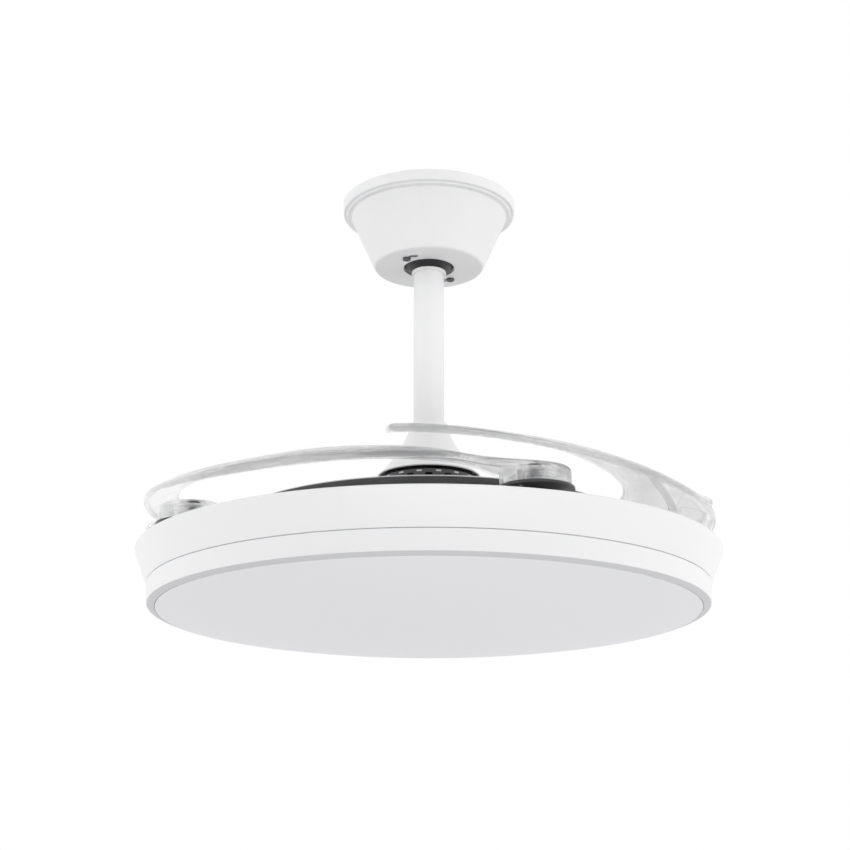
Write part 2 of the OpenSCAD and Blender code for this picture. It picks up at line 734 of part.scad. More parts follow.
// Opal dish: a flange on the ring's lip and a shallow dome through it
module diffuser() {
    edge_r = lower_r - lip_w - seat_gap;
    cap_r = (edge_r * edge_r + diffuser_sag * diffuser_sag) / (2 * diffuser_sag);
    seat_z = lower_bot_z + lamp_wall;
    function dome(r, t) = seat_z - diffuser_sag - lamp_wall + t
        + cap_r - sqrt(cap_r * cap_r - r * r);
    steps = 20;
    color(opal) rotate_extrude($fn = 180) polygon(concat(
        [for (i = [0 : steps]) let (r = edge_r * i / steps) [r, dome(r, 0)]],
        [[edge_r, seat_z], [edge_r + 4.4, seat_z], [edge_r + 4.4, seat_z + diffuser_t]],
        [for (i = [steps : -1 : 0]) let (r = (edge_r - 1.5) * i / steps)
            [r, min(dome(r, diffuser_t), seat_z + diffuser_t)]]));
}

// ---- Rotor ----

// Black upper cover: neck with vents, shoulder, wall, hub flange and bearing seat
module motor_top_cover() {
    t = motor_top_z;
    b = motor_bot_z + 3.5;
    s = t - neck_h - shoulder_h;
    w = motor_wall;
    color(black) difference() {
        rotate_extrude() polygon([
            [shaft_hole_r, t], [neck_r - 1, t], [neck_r, t - 1], [neck_r, t - neck_h],
            [motor_r - 14, s + 4], [motor_r - 3, s + 1], [motor_r, s - 3],
            [motor_r, hub_seat_z], [hub_flange_r, hub_seat_z],
            [hub_flange_r, hub_seat_z - cover_flange_t], [motor_r, hub_seat_z - cover_flange_t],
            [motor_r, b + cover_flange_t], [cover_flange_r, b + cover_flange_t],
            [cover_flange_r, b], [motor_r - w, b], [motor_r - w, s - 3],
            [motor_r - 14 - w, s + 1], [neck_r - w, t - neck_h - 1],
            [neck_r - w, t - roof_t], [bearing_r + 4, t - roof_t],
            [bearing_r + 4, upper_bearing_z], [bearing_r, upper_bearing_z],
            [bearing_r, upper_bearing_z + bearing_w],
            [shaft_hole_r, upper_bearing_z + bearing_w]]);
        for (k = [0 : 15]) rotate([0, 0, 22.5 * k])
            translate([neck_r - w - 1, -3, t - neck_h + 0.5]) cube([w + 2, 6, 3.4]);
        ring_of(6, hub_screw_r) translate([0, 0, hub_seat_z - cover_flange_t - 1])
            cylinder(h = cover_flange_t + 2, r = 2.1);
        ring_of(6, motor_r + 4, 30) translate([0, 0, b - 1])
            cylinder(h = cover_flange_t + 2, r = 2.1);
    }
}

// Flat lower cover with the other bearing seat
module motor_bottom_cover() {
    b = motor_bot_z;
    color(black) difference() {
        rotate_extrude() polygon([
            [shaft_hole_r, b], [cover_flange_r, b], [cover_flange_r, b + 3.5],
            [bearing_r + 4, b + 3.5], [bearing_r + 4, b + 3.5 + bearing_w],
            [bearing_r, b + 3.5 + bearing_w], [bearing_r, b + 3.5], [shaft_hole_r, b + 3.5]]);
        ring_of(6, motor_r + 4, 30) translate([0, 0, b - 1]) cylinder(h = 5.5, r = 2.1);
    }
}

// Magnets on the inside of the rotor's wall
module rotor_magnets() {
    step = 360 / magnets;
    color(dark_steel) for (k = [0 : magnets - 1]) rotate([0, 0, step * k])
        translate([0, 0, stator_mid_z - magnet_h / 2]) rotate_extrude(angle = step - 1.5)
            translate([motor_r - motor_wall - magnet_t, 0]) square([magnet_t, magnet_h]);
}

// Ball bearing whose lower face is at z: two races and nine balls
module bearing(z) {
    mid = (bearing_r + shaft_r) / 2;
    ball = 3.2;
    color(steel) {
        difference() {
            tube(z, z + bearing_w, bearing_r, mid + 1.8);
            translate([0, 0, z + bearing_w / 2]) rotate_extrude()
                translate([mid, 0]) circle(r = ball + 0.1);
        }
        difference() {
            tube(z, z + bearing_w, mid - 1.8, shaft_r + run_gap);
            translate([0, 0, z + bearing_w / 2]) rotate_extrude()
                translate([mid, 0]) circle(r = ball + 0.1);
        }
        ring_of(9, mid) translate([0, 0, z + bearing_w / 2]) sphere(r = ball);
    }
}

module upper_bearing() { bearing(upper_bearing_z); }

module lower_bearing() { bearing(lower_bearing_z); }

// Screws that hold the two motor covers together
module cover_screws() {
    color(steel) ring_of(6, motor_r + 4, 30) translate([0, 0, motor_bot_z]) rotate([180, 0, 0])
        screw(3.6, 2.2, 2, 3.5 + cover_flange_t);
}

// Black dish with four round ears, which carries the blades
module rotor_hub() {
    floor_r = hub_r - 21;
    color(black) difference() {
        union() {
            rotate_extrude($fn = 144) polygon([
                [motor_r + 0.5, hub_seat_z], [motor_r + 0.5, hub_top_z],
                [hub_r - 2, hub_top_z], [hub_r - 0.6, hub_top_z - 0.6], [hub_r, hub_top_z - 2],
                [hub_r, ear_bot_z], [floor_r, ear_bot_z], [floor_r, ear_top_z],
                [hub_r - hub_t, ear_top_z], [hub_r - hub_t, hub_seat_z]]);
            difference() {
                for (k = [0 : 3]) rotate([0, 0, pivot_angle + 90 * k])
                    translate([0, 0, ear_bot_z]) {
                        translate([pivot_r, 0, 0]) cylinder(h = hub_t, r = ear_r);
                        translate([floor_r + 2, -ear_r, 0])
                            cube([pivot_r - floor_r - 2, 2 * ear_r, hub_t]);
                    }
                translate([0, 0, ear_bot_z - 1]) cylinder(h = hub_t + 2, r = floor_r + 10);
            }
        }
        ring_of(6, hub_screw_r) translate([0, 0, hub_seat_z - 1]) cylinder(h = hub_t + 2, r = 2.1);
        at_pivots() {
            translate([0, 0, ear_bot_z - 1]) cylinder(h = hub_t + 2, r = 3);
            for (a = peg_angles) rotate([0, 0, a]) translate([peg_ring_r, 0, ear_bot_z - 1])
                cylinder(h = hub_t + 2, r = peg_shank_r);
        }
    }
}

// Screws that hold the hub on the motor's flange
module hub_screws() {
    color(steel) ring_of(6, hub_screw_r) translate([0, 0, hub_top_z])
        screw(4, 2.4, 2, hub_t + cover_flange_t);
}

// Riveted steel posts on which the blades turn
module pivot_posts() {
    top = boss_top_z + seat_gap;
    color(steel) at_pivots() difference() {
        union() {
            translate([0, 0, ear_bot_z - 1.2]) cylinder(h = 1.2, r = 5.5);
            translate([0, 0, ear_bot_z - eps]) cylinder(h = hub_t + 2 * eps, r = 3);
            translate([0, 0, ear_top_z]) cylinder(h = top - ear_top_z, r = post_r);
        }
        translate([0, 0, top - 9]) cylinder(h = 10, r = 2);
    }
}

// Screw with washer on top of each post, which keeps the blade on
module pivot_screws() {
    color(dark_steel) at_pivots() translate([0, 0, boss_top_z + seat_gap]) {
        cylinder(h = 0.8, r = 7.5);
        translate([0, 0, 0.8]) screw(5, 2.7, 2, 9);
    }
}

// Path of a return spring: a leg, the curls round the boss tube and a short leg
spring_wire = 0.65;
spring_r = 12.2;
spring_curls = 4;
spring_pitch = 2.1;
spring_z = boss_z + 0.9;
spring_rings = round(8 * spring_curls);
spring_start = peg_angles[0];
spring_coil = [for (i = [0 : spring_rings]) let (a = spring_start + 45 * i)
    [spring_r * cos(a), spring_r * sin(a), spring_z + spring_pitch * i / 8]];
spring_end = spring_start + 45 * spring_rings;
leg_reach = peg_ring_r - peg_r - seat_gap;
spring_path = concat(
    [[leg_reach * cos(spring_start), leg_reach * sin(spring_start), spring_z - 0.1],
     [(spring_r + 2) * cos(spring_start), (spring_r + 2) * sin(spring_start), spring_z - 0.1]],
    [for (i = [1 : spring_rings - 1]) spring_coil[i]],
    [[(spring_r + 2) * cos(spring_end), (spring_r + 2) * sin(spring_end),
      spring_coil[spring_rings][2]],
     [(spring_r + 4) * cos(spring_end), (spring_r + 4) * sin(spring_end),
      spring_coil[spring_rings][2]]]);
spring_gap = min([for (i = [0 : len(spring_path) - 6], j = [i + 5 : len(spring_path) - 1])
    norm(spring_path[i] - spring_path[j])]) - 2 * spring_wire;
echo(spring_least_gap = spring_gap);

// Torsion springs that pull the blades back in
module return_springs() {
    color(steel) at_pivots() wire(spring_path, spring_wire);
}

// Two rubber-sleeved pegs at each pivot, which stop the blade at both ends of its swing
module stop_pegs() {
    color(rubber) at_pivots() for (a = peg_angles) rotate([0, 0, a])
        translate([peg_ring_r, 0, 0]) {
            translate([0, 0, ear_top_z]) cylinder(h = 9, r = peg_r);
            translate([0, 0, ear_bot_z]) cylinder(h = hub_t + 1, r = peg_shank_r);
        }
}

// ---- Blades ----

// How far the root has turned into the full blade, at the sweep angle a
function root_blend(a) = ease((a - 2.6) / 12.9);
// Height of the folded blade's outer edge above the origin, past its root
climb_start = 51;   // sweep angles between which the edge climbs
climb_end = 121;
function low_line(a) = rim_z + blade_low
    + blade_climb * ease((a - climb_start) / (climb_end - climb_start));
// Outer edge of the root: a slight waist, which then widens to the full blade
waist_line = [[0, pivot_r + boss_r - 1], [12, pivot_r + boss_r - 4], [21, blade_outer_r],
    [blade_sweep, blade_outer_r]];
// Inner edge of the blade along its sweep
inner_edge = [[0, 188], [6, 182], [12, 177], [17, 166], [24, 159], [40, 170], [60, 187], [80, 202],
    [100, 213], [blade_sweep, 219]];
// Pitch of the sheet along its sweep
pitch_line = [[10, 12.3], [45, 9], [80, 12.4], [blade_sweep, 19]];
// The outer margin is rolled down over this width, by the heights along the sweep below
roll_w = 15;
roll_line = [[0, 0], [14, 0], [28, 4.6], [42, 7], [57, 6.4], [72, 5], [86, 3], [98, 0.8],
    [blade_sweep, 0]];
// Rounding of the tip's two corners
function tip_round(a) = let (d = max(a - blade_sweep + 1.6, 0)) d * d * 1.4;
// Outer and inner edge at the sweep angle a
function edge_out(a) = curve(a, waist_line) - tip_round(a);
function edge_in(a) = curve(a, inner_edge) + tip_round(a);
// Height of the outer edge's foot, above the origin
function edge_foot(a) = mix(boss_top_z - sheet_t, low_line(a), root_blend(a));
// Rise of the rolled margin at the distance d from its edge
function rolled(d, a) = let (v = 1 - min(max(d / roll_w, 0), 1)) curve(a, roll_line) * (1 - v * v);
// Height of the blade's upper face at radius r
function blade_top(r, a) = let (
    out = edge_out(a) - 1, u = (out - r) / (out - edge_in(a)),
    full = low_line(a) + lip_h + (out - r) * tan(curve(a, pitch_line))
        + camber * 4 * u * (1 - u) + rolled(out - r, a))
    mix(boss_top_z, full, root_blend(a));

// Closed outline of the blade across its sweep, at the angle a
cross_steps = 8;
// Part of the way across at step i, with the steps closer together at the rolled margin
function across(i) = pow(i / cross_steps, 1.6);
function blade_outline(a) = let (
    ro = edge_out(a), ri = edge_in(a), foot = edge_foot(a),
    top = [for (i = [0 : cross_steps]) mix(ro - 1, ri, across(i))],
    bottom = [for (i = [cross_steps : -1 : 0]) mix(ro - lip_t, ri, across(i))])
    concat([for (r = top) swept(r, a, blade_top(r, a))],
        [for (r = bottom) swept(r, a, blade_top(r, a) - sheet_t)],
        [swept(ro - lip_t + 0.2, a, min(foot, blade_top(ro - lip_t, a) - sheet_t - 0.05)),
         swept(ro, a, min(foot, blade_top(ro - lip_t, a) - sheet_t - 0.05)),
         swept(ro, a, blade_top(ro - 1, a) - 1)]);

blade_stations = concat([0, 3, 5, 7, 9, 11, 13, 15, 17.5], [for (a = [20 : 4 : blade_sweep - 5]) a],
    [blade_sweep - 3, blade_sweep - 1, blade_sweep]);

// The sheet as one closed solid
module blade_sheet() {
    stations = blade_stations;
    n = 2 * (cross_steps + 1) + 3;
    m = len(stations);
    points = [for (a = stations) each blade_outline(a)];
    sides = [for (i = [0 : m - 2], k = [0 : n - 1], h = [0, 1]) let (q = (k + 1) % n)
        h == 0 ? [n * i + k, n * i + n + k, n * i + q]
               : [n * i + q, n * i + n + k, n * i + n + q]];
    c = cross_steps;
    cap = concat([for (i = [0 : c - 1], h = [0, 1])
            h == 0 ? [i, i + 1, 2 * c - i] : [i, 2 * c - i, 2 * c + 1 - i]],
        [for (i = [1 : 3]) [0, 2 * c + i, 2 * c + i + 1]]);
    far = n * (m - 1);
    ends = concat(cap, [for (f = cap) [far + f[2], far + f[1], far + f[0]]]);
    polyhedron(points = points, faces = concat(sides, ends));
}

// Hollow boss with a tube for the bush and a rib for the stop pegs
module blade_boss() {
    difference() {
        cylinder(h = boss_h, r = boss_r);
        translate([0, 0, -1]) difference() {
            cylinder(h = boss_h - boss_roof + 1, r = boss_r - boss_wall);
            cylinder(h = boss_h, r = tube_r);
        }
    }
    rotate([0, 0, rib_angle]) translate([rib_inner_r, -rib_t / 2, 2.2])
        cube([boss_r - boss_wall / 2 - rib_inner_r, rib_t, boss_h - 3]);
}

// One clear blade, folded, at pivot i
module blade(i) {
    color(clear) rotate([0, 0, pivot_angle + 90 * i]) difference() {
        union() {
            blade_sheet();
            translate([pivot_r, 0, boss_z]) blade_boss();
        }
        translate([pivot_r, 0, boss_z - 1]) cylinder(h = 2 * boss_h, r = bush_r);
    }
}

// Bush in the boss, which runs on the post
module blade_bush(i) {
    color(nylon) at_pivots(i) tube(boss_z, boss_top_z, bush_r, post_r + run_gap);
}

module blade_1() { blade(0); }
module blade_2() { blade(1); }
module blade_3() { blade(2); }
module blade_4() { blade(3); }
module blade_bush_1() { blade_bush(0); }
module blade_bush_2() { blade_bush(1); }
module blade_bush_3() { blade_bush(2); }
module blade_bush_4() { blade_bush(3); }

hanger_bracket();
canopy();
canopy_screws();
receiver_box();
terminal_block();
ball_liner();
hanger_ball();
ball_cross_pin();
rod_ring();
downrod();
bell_collar();
yoke();
yoke_pin();
yoke_clip();
yoke_set_screws();
motor_shaft();
stator_core();
stator_coils();
shaft_nuts();
light_bracket();
bracket_screws();
upper_ring();
led_standoffs();
standoff_screws();
led_tray();
led_emitters();
led_driver();
driver_screws();
lower_ring();
diffuser();
motor_top_cover();
motor_bottom_cover();
rotor_magnets();
upper_bearing();
lower_bearing();
cover_screws();
rotor_hub();
hub_screws();
pivot_posts();
pivot_screws();
return_springs();
stop_pegs();
blade_1();
blade_2();
blade_3();
blade_4();
blade_bush_1();
blade_bush_2();
blade_bush_3();
blade_bush_4();
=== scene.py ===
import json
import math

import bmesh
import bpy
import numpy as np
from mathutils import Matrix, Vector


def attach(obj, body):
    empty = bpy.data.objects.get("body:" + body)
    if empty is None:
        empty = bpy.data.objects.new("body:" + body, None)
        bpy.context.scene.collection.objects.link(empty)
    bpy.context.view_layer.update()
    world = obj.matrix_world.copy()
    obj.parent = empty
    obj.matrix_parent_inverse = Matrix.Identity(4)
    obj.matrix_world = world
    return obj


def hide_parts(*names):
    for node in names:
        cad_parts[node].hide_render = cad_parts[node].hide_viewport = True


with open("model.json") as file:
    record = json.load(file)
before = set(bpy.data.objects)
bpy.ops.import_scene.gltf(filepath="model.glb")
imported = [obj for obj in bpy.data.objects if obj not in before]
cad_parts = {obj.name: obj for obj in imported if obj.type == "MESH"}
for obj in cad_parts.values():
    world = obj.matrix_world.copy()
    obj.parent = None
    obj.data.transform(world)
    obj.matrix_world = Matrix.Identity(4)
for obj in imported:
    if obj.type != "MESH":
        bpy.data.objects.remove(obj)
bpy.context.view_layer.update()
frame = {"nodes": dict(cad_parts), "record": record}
MM = 0.001

# ---------------------------------------------------------------- sizes, in mm
# Heights are counted from the ceiling face, as in the frame.
RIM_Z = -332.0              # the lamp's top rim
PIVOT_R = 209.0             # from the axis to a blade's post
PIVOT_ANGLES = [-67.5 + 90.0 * k for k in range(4)]
ROD_R = 13.6
BOSS_R = 27.5
EAR_TOP = RIM_Z + 11.0
BOSS_Z = EAR_TOP + 0.4
BOSS_TOP = BOSS_Z + 14.4


# ---------------------------------------------------------------- mesh helpers
def ease(t):
    """0 to 1 with level ends."""
    t = min(max(t, 0.0), 1.0)
    return t * t * (3 - 2 * t)


def curve_at(x, pts):
    """Smooth curve through pts, read at x, with the same rule as the frame's solids."""
    def slope(i):
        a, b = max(i - 1, 0), min(i + 1, len(pts) - 1)
        return (pts[b][1] - pts[a][1]) / (pts[b][0] - pts[a][0])
    i = 0
    for k in range(len(pts) - 1):
        if x >= pts[k][0]:
            i = k
    w = pts[i + 1][0] - pts[i][0]
    t = min(max((x - pts[i][0]) / w, 0.0), 1.0)
    a, b = slope(i) * w, slope(i + 1) * w
    return ((2 * t**3 - 3 * t**2 + 1) * pts[i][1] + (t**3 - 2 * t**2 + t) * a
            + (3 * t**2 - 2 * t**3) * pts[i + 1][1] + (t**3 - t**2) * b)


def polar(r, deg):
    """The point at radius r in the direction deg."""
    a = math.radians(deg)
    return r * math.cos(a), r * math.sin(a)


def around(n):
    """Cosine and sine of n even steps of a full turn."""
    return [(math.cos(2 * math.pi * k / n), math.sin(2 * math.pi * k / n)) for k in range(n)]


def smooth_shade(me, angle):
    """Smooth faces, with a sharp edge wherever the surface turns by more than angle."""
    bm = bmesh.new()
    bm.from_mesh(me)
    bmesh.ops.recalc_face_normals(bm, faces=bm.faces)
    limit = math.radians(angle)
    for f in bm.faces:
        f.smooth = True
    for e in bm.edges:
        e.smooth = not (len(e.link_faces) == 2 and e.calc_face_angle(0.0) > limit)
    bm.to_mesh(me)
    bm.free()


def new_piece(name, verts, faces, mat, angle=30.0):
    """A mesh object from points in mm."""
    me = bpy.data.meshes.new(name)
    me.from_pydata([tuple(MM * c for c in v) for v in verts], [], faces)
    me.validate()
    smooth_shade(me, angle)
    ob = bpy.data.objects.new(name, me)
    bpy.context.scene.collection.objects.link(ob)
    me.materials.append(mat)
    return ob


def skin_faces(rows, n, loop=False):
    """Faces over rows of n points: the last row joins the first, or both ends are closed."""
    pairs = [(i, (i + 1) % rows) for i in range(rows if loop else rows - 1)]
    faces = [[n * i + k, n * i + (k + 1) % n, n * j + (k + 1) % n, n * j + k]
             for i, j in pairs for k in range(n)]
    if not loop:
        faces += [list(range(n))[::-1], [n * (rows - 1) + k for k in range(n)]]
    return faces


def rounded(pts, steps=5):
    """A closed outline from (r, z, radius), each corner turned into an arc of that radius."""
    straight = math.radians(88)         # flatter corners stay as they are
    share = 0.48                        # most of a side that one arc may take
    out = []
    for i, (x, y, rad) in enumerate(pts):
        p = Vector((x, y))
        a = Vector(pts[i - 1][:2]) - p
        b = Vector(pts[(i + 1) % len(pts)][:2]) - p
        la, lb = a.length, b.length
        a.normalize()
        b.normalize()
        half = math.acos(max(-1.0, min(1.0, a.dot(b)))) / 2
        if rad <= 0 or half > straight:
            out.append((x, y))
            continue
        d = min(rad / math.tan(half), share * la, share * lb)
        r = d * math.tan(half)
        c = p + (a + b).normalized() * (r / math.sin(half))
        v0, v1 = p + a * d - c, p + b * d - c
        ang0 = math.atan2(v0.y, v0.x)
        turn = math.atan2(v1.y, v1.x) - ang0
        turn = (turn + math.pi) % (2 * math.pi) - math.pi
        for k in range(steps + 1):
            t = ang0 + turn * k / steps
            out.append((c.x + r * math.cos(t), c.y + r * math.sin(t)))
    return out


def lathe(name, profile, mat, segs, angle=28.0):
    """Turns a closed outline of (r, z) round the axis."""
    verts, faces, rows = [], [], []
    turns = around(segs)
    for r, z in profile:
        if r < 1e-6:
            rows.append([len(verts)] * segs)
            verts.append((0.0, 0.0, z))
        else:
            rows.append(list(range(len(verts), len(verts) + segs)))
            verts += [(r * c, r * s, z) for c, s in turns]
    for i, row in enumerate(rows):
        after = rows[(i + 1) % len(rows)]
        for k in range(segs):
            q = (k + 1) % segs
            face = list(dict.fromkeys((row[k], row[q], after[q], after[k])))
            if len(face) >= 3:
                faces.append(face)
    return new_piece(name, verts, faces, mat, angle)


def boolean(ob, other, op, angle=32.0):
    """Applies a boolean of ob with other, and removes other."""
    mod = ob.modifiers.new("cut", "BOOLEAN")
    mod.operation = op
    mod.solver = "EXACT"
    mod.object = other
    bpy.context.view_layer.update()
    deps = bpy.context.evaluated_depsgraph_get()
    me = bpy.data.meshes.new_from_object(ob.evaluated_get(deps))
    ob.modifiers.clear()
    old = ob.data
    ob.data = me
    bpy.data.meshes.remove(old)
    bpy.data.objects.remove(other)
    smooth_shade(ob.data, angle)


def join(name, obs):
    """Joins objects into one."""
    bpy.ops.object.select_all(action="DESELECT")
    for o in obs:
        o.select_set(True)
    bpy.context.view_layer.objects.active = obs[0]
    bpy.ops.object.join()
    obs[0].name = name
    obs[0].data.name = name
    return obs[0]


def drill(ob, p, q, r, segs=48, angle=32.0):
    """Cuts a round hole of radius r out of ob, from p to q."""
    p, q = Vector(p), Vector(q)
    d = (q - p).normalized()
    side = d.orthogonal().normalized()
    up = d.cross(side)
    verts = [tuple(end + r * (c * side + s * up)) for end in (p, q) for c, s in around(segs)]
    faces = skin_faces(2, segs)[:segs]
    faces += [list(range(segs)), list(range(2 * segs - 1, segs - 1, -1))]
    boolean(ob, new_piece("cutter", verts, faces, ob.data.materials[0]), "DIFFERENCE", angle)


def block(lo, hi, mat, turn):
    """A box from lo to hi, turned about the axis by turn degrees."""
    c, s = polar(1.0, turn)
    verts = [(c * x - s * y, s * x + c * y, z) for z in (lo[2], hi[2])
             for x, y in ((lo[0], lo[1]), (hi[0], lo[1]), (hi[0], hi[1]), (lo[0], hi[1]))]
    faces = [[0, 3, 2, 1], [4, 5, 6, 7], [0, 1, 5, 4], [1, 2, 6, 5], [2, 3, 7, 6], [3, 0, 4, 7]]
    return new_piece("cutter", verts, faces, mat)


# ---------------------------------------------------------------- materials
M = {}


def new_material(name):
    """Keeps a new material in M, and gives its node tree and its surface shader."""
    M[name] = bpy.data.materials.new(name)
    M[name].use_nodes = True
    nt = M[name].node_tree
    return nt, nt.nodes["Principled BSDF"]


def add_node(nt, kind, **inputs):
    """A shader node with its inputs set by name."""
    made = nt.nodes.new("ShaderNode" + kind)
    for name, value in inputs.items():
        made.inputs[name.replace("_", " ")].default_value = value
    return made


def add_noise(nt, where, scale, detail):
    """Noise in the piece's own space."""
    tex = add_node(nt, "TexNoise", Scale=scale, Detail=detail)
    nt.links.new(where, tex.inputs["Vector"])
    return tex.outputs["Fac"]


def add_tint(nt, factor, low, high):
    """Surface colour that goes from low to high with factor."""
    tint = nt.nodes.new("ShaderNodeMix")
    tint.data_type = "RGBA"
    tint.inputs["A"].default_value = [*low, 1.0]
    tint.inputs["B"].default_value = [*high, 1.0]
    nt.links.new(factor, tint.inputs["Factor"])
    nt.links.new(tint.outputs["Result"], nt.nodes["Principled BSDF"].inputs["Base Color"])


def add_gloss(nt, factor, low, high):
    """Roughness that goes from low to high with factor."""
    gloss = add_node(nt, "MapRange", To_Min=low, To_Max=high)
    nt.links.new(factor, gloss.inputs["Value"])
    nt.links.new(gloss.outputs["Result"], nt.nodes["Principled BSDF"].inputs["Roughness"])


def add_bump(nt, height, strength, distance):
    """Fine relief from height, distance in metres."""
    bump = add_node(nt, "Bump", Strength=strength, Distance=distance)
    nt.links.new(height, bump.inputs["Height"])
    nt.links.new(bump.outputs["Normal"], nt.nodes["Principled BSDF"].inputs["Normal"])


def shader(name, color, rough, metallic=0.0, coat=0.0, coat_rough=0.1,
           mottle=0.03, mottle_scale=14.0, grain=0.0, grain_scale=900.0):
    """A painted, moulded or metal surface: slow colour drift, uneven gloss and a fine skin."""
    spread = 0.05
    nt, bsdf = new_material(name)
    bsdf.inputs["Metallic"].default_value = metallic
    bsdf.inputs["Coat Weight"].default_value = coat
    bsdf.inputs["Coat Roughness"].default_value = coat_rough
    where = add_node(nt, "TexCoord").outputs["Object"]
    slow = add_noise(nt, where, mottle_scale, 4.0)
    add_tint(nt, slow, [c * (1 - mottle) for c in color],
             [min(c * (1 + mottle), 1.0) for c in color])
    add_gloss(nt, slow, max(rough - spread, 0.01), rough + spread)
    if grain > 0:
        add_bump(nt, add_noise(nt, where, grain_scale, 3.0), grain, 0.0002)


def brushed(name, color, rough, axis="Z", scale=60.0, stretch=24.0):
    """Bright metal with fine turning marks along one direction."""
    shader(name, color, rough, metallic=1.0, mottle=0.06, mottle_scale=30.0)
    nt = M[name].node_tree
    sizing = add_node(nt, "Mapping",
                      Scale=[scale * (stretch if a == axis else 1.0) for a in "XYZ"])
    nt.links.new(add_node(nt, "TexCoord").outputs["Object"], sizing.inputs["Vector"])
    add_bump(nt, add_noise(nt, sizing.outputs["Vector"], 1.0, 5.0), 0.25, 0.0001)


def clear_plastic(name, face_on, grazing, rough=0.03, ripple=0.05, body=0.5, turn=(0.74, 0.92)):
    """Clear moulded acrylic, whose tint goes from face_on to grazing as the view gets lower.
    Where grazing is the darker, it stands partly for the longer path through the sheet and partly
    for a painted reflection of darker surroundings.
    """
    nt, bsdf = new_material(name)
    bsdf.inputs["Transmission Weight"].default_value = 1.0
    bsdf.inputs["IOR"].default_value = 1.49
    bsdf.inputs["Alpha"].default_value = body
    facing = add_node(nt, "LayerWeight", Blend=0.5)
    path_and_reflection = add_node(nt, "MapRange", From_Min=turn[0], From_Max=turn[1])
    path_and_reflection.interpolation_type = "SMOOTHSTEP"
    nt.links.new(facing.outputs["Facing"], path_and_reflection.inputs["Value"])
    add_tint(nt, path_and_reflection.outputs["Result"], face_on, grazing)
    flow = add_noise(nt, add_node(nt, "TexCoord").outputs["Object"], 55.0, 3.0)
    add_gloss(nt, flow, rough, rough * 2.5)
    add_bump(nt, flow, ripple, 0.001)


shader("white_paint", (0.83, 0.83, 0.832), 0.36, coat=0.15, coat_rough=0.2,
       mottle=0.012, mottle_scale=9.0, grain=0.05, grain_scale=700.0)
# grey that paints the shade on the lower ring's downward lip, which is white like the ring
shader("lip_painted_shade", (0.575, 0.575, 0.59), 0.42, mottle=0.02, grain=0.08)
shader("black_paint", (0.024, 0.024, 0.026), 0.30, coat=0.5, coat_rough=0.15,
       mottle=0.2, mottle_scale=25.0, grain=0.10, grain_scale=1500.0)
clear_plastic("clear_blade", (1.0, 1.0, 1.0), (0.56, 0.563, 0.57), turn=(0.77, 0.93))
clear_plastic("clear_lip", (0.40, 0.403, 0.41), (0.95, 0.95, 0.955), body=0.6,
              turn=(0.45, 0.95))
clear_plastic("clear_boss", (0.985, 0.986, 0.99), (0.80, 0.802, 0.81), ripple=0.12)
clear_plastic("clear_rib", (0.52, 0.522, 0.53), (0.60, 0.602, 0.61), rough=0.12, body=0.7)
clear_plastic("clear_bush", (0.94, 0.94, 0.93), (0.70, 0.70, 0.69), rough=0.12, body=0.35)
# grey metal for the neck clips, and for the hub's top edge, where it is partly a bare metal edge
# and partly a painted highlight
shader("clip_metal_and_edge_highlight", (0.55, 0.55, 0.56), 0.32, metallic=0.6, mottle=0.04)
shader("opal", (0.77, 0.77, 0.785), 0.38, mottle=0.008, mottle_scale=5.0, grain=0.04,
       grain_scale=1200.0)
brushed("zinc_steel", (0.62, 0.63, 0.65), 0.38, axis="X", scale=90.0, stretch=8.0)
brushed("steel", (0.58, 0.59, 0.61), 0.28)
brushed("dark_steel", (0.13, 0.13, 0.14), 0.36)
shader("white_plastic", (0.80, 0.80, 0.79), 0.45, mottle=0.02, grain=0.12, grain_scale=1300.0)
shader("black_plastic", (0.025, 0.025, 0.027), 0.42, mottle=0.2, grain=0.2,
       grain_scale=1600.0)
shader("nylon", (0.74, 0.73, 0.69), 0.5, mottle=0.04, grain=0.1, grain_scale=1500.0)
brushed("copper_wire", (0.62, 0.27, 0.12), 0.32, scale=300.0, stretch=6.0)
shader("magnet", (0.09, 0.09, 0.10), 0.5, metallic=0.4, mottle=0.2, grain=0.4,
       grain_scale=1800.0)
shader("rubber", (0.58, 0.58, 0.57), 0.7, mottle=0.08, grain=0.3, grain_scale=1500.0)
shader("lens", (0.86, 0.83, 0.66), 0.25, mottle=0.05, coat=0.5)

finish = {s["node"]: s["material_slot"] for s in frame["record"]["subparts"]}
finish.update({"blade_bush_%d" % k: "clear_bush" for k in (1, 2, 3, 4)})
finish["canopy_screws"] = "dark_steel"
for node, ob in frame["nodes"].items():
    for s in ob.material_slots:
        s.material = M[finish[node]]
    if not ob.material_slots:
        ob.data.materials.append(M[finish[node]])


def stands_for(ob, body, slot, *nodes):
    """The piece rides on body and stands for nodes; slot is not used."""
    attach(ob, body)
    if nodes:
        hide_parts(*nodes)


# ---------------------------------------------------------------- ceiling side
CANOPY_TOP = -1.0
CANOPY_BOT = -62.6
CANOPY_WALL = 1.2
CANOPY_HOLE = 22.4
CUP_FOOT_R, CUP_TOP_R = 49.1, 71.0
FLANGE_R = 78.8
SCREW_R = 31.5
SCREW_ANGLE = 51.0
# where the keyholes are drilled: degrees from the screw, and radius
KEYHOLE = [(off, 2.2) for off in (0.0, 2.5, 5.0, 7.5, 10.0)] + [(14.0, 3.9)]

BALL_Z = -40.0              # the hanger ball's centre
BALL_R = 30.0
BALL_HOLE = ROD_R + 0.1
BALL_FOOT = BALL_Z - math.sqrt(BALL_R**2 - (ROD_R + 0.7)**2)
PIN_Z, PIN_R = -22.0, 2.6   # the cross pin, level with the ball's flat top


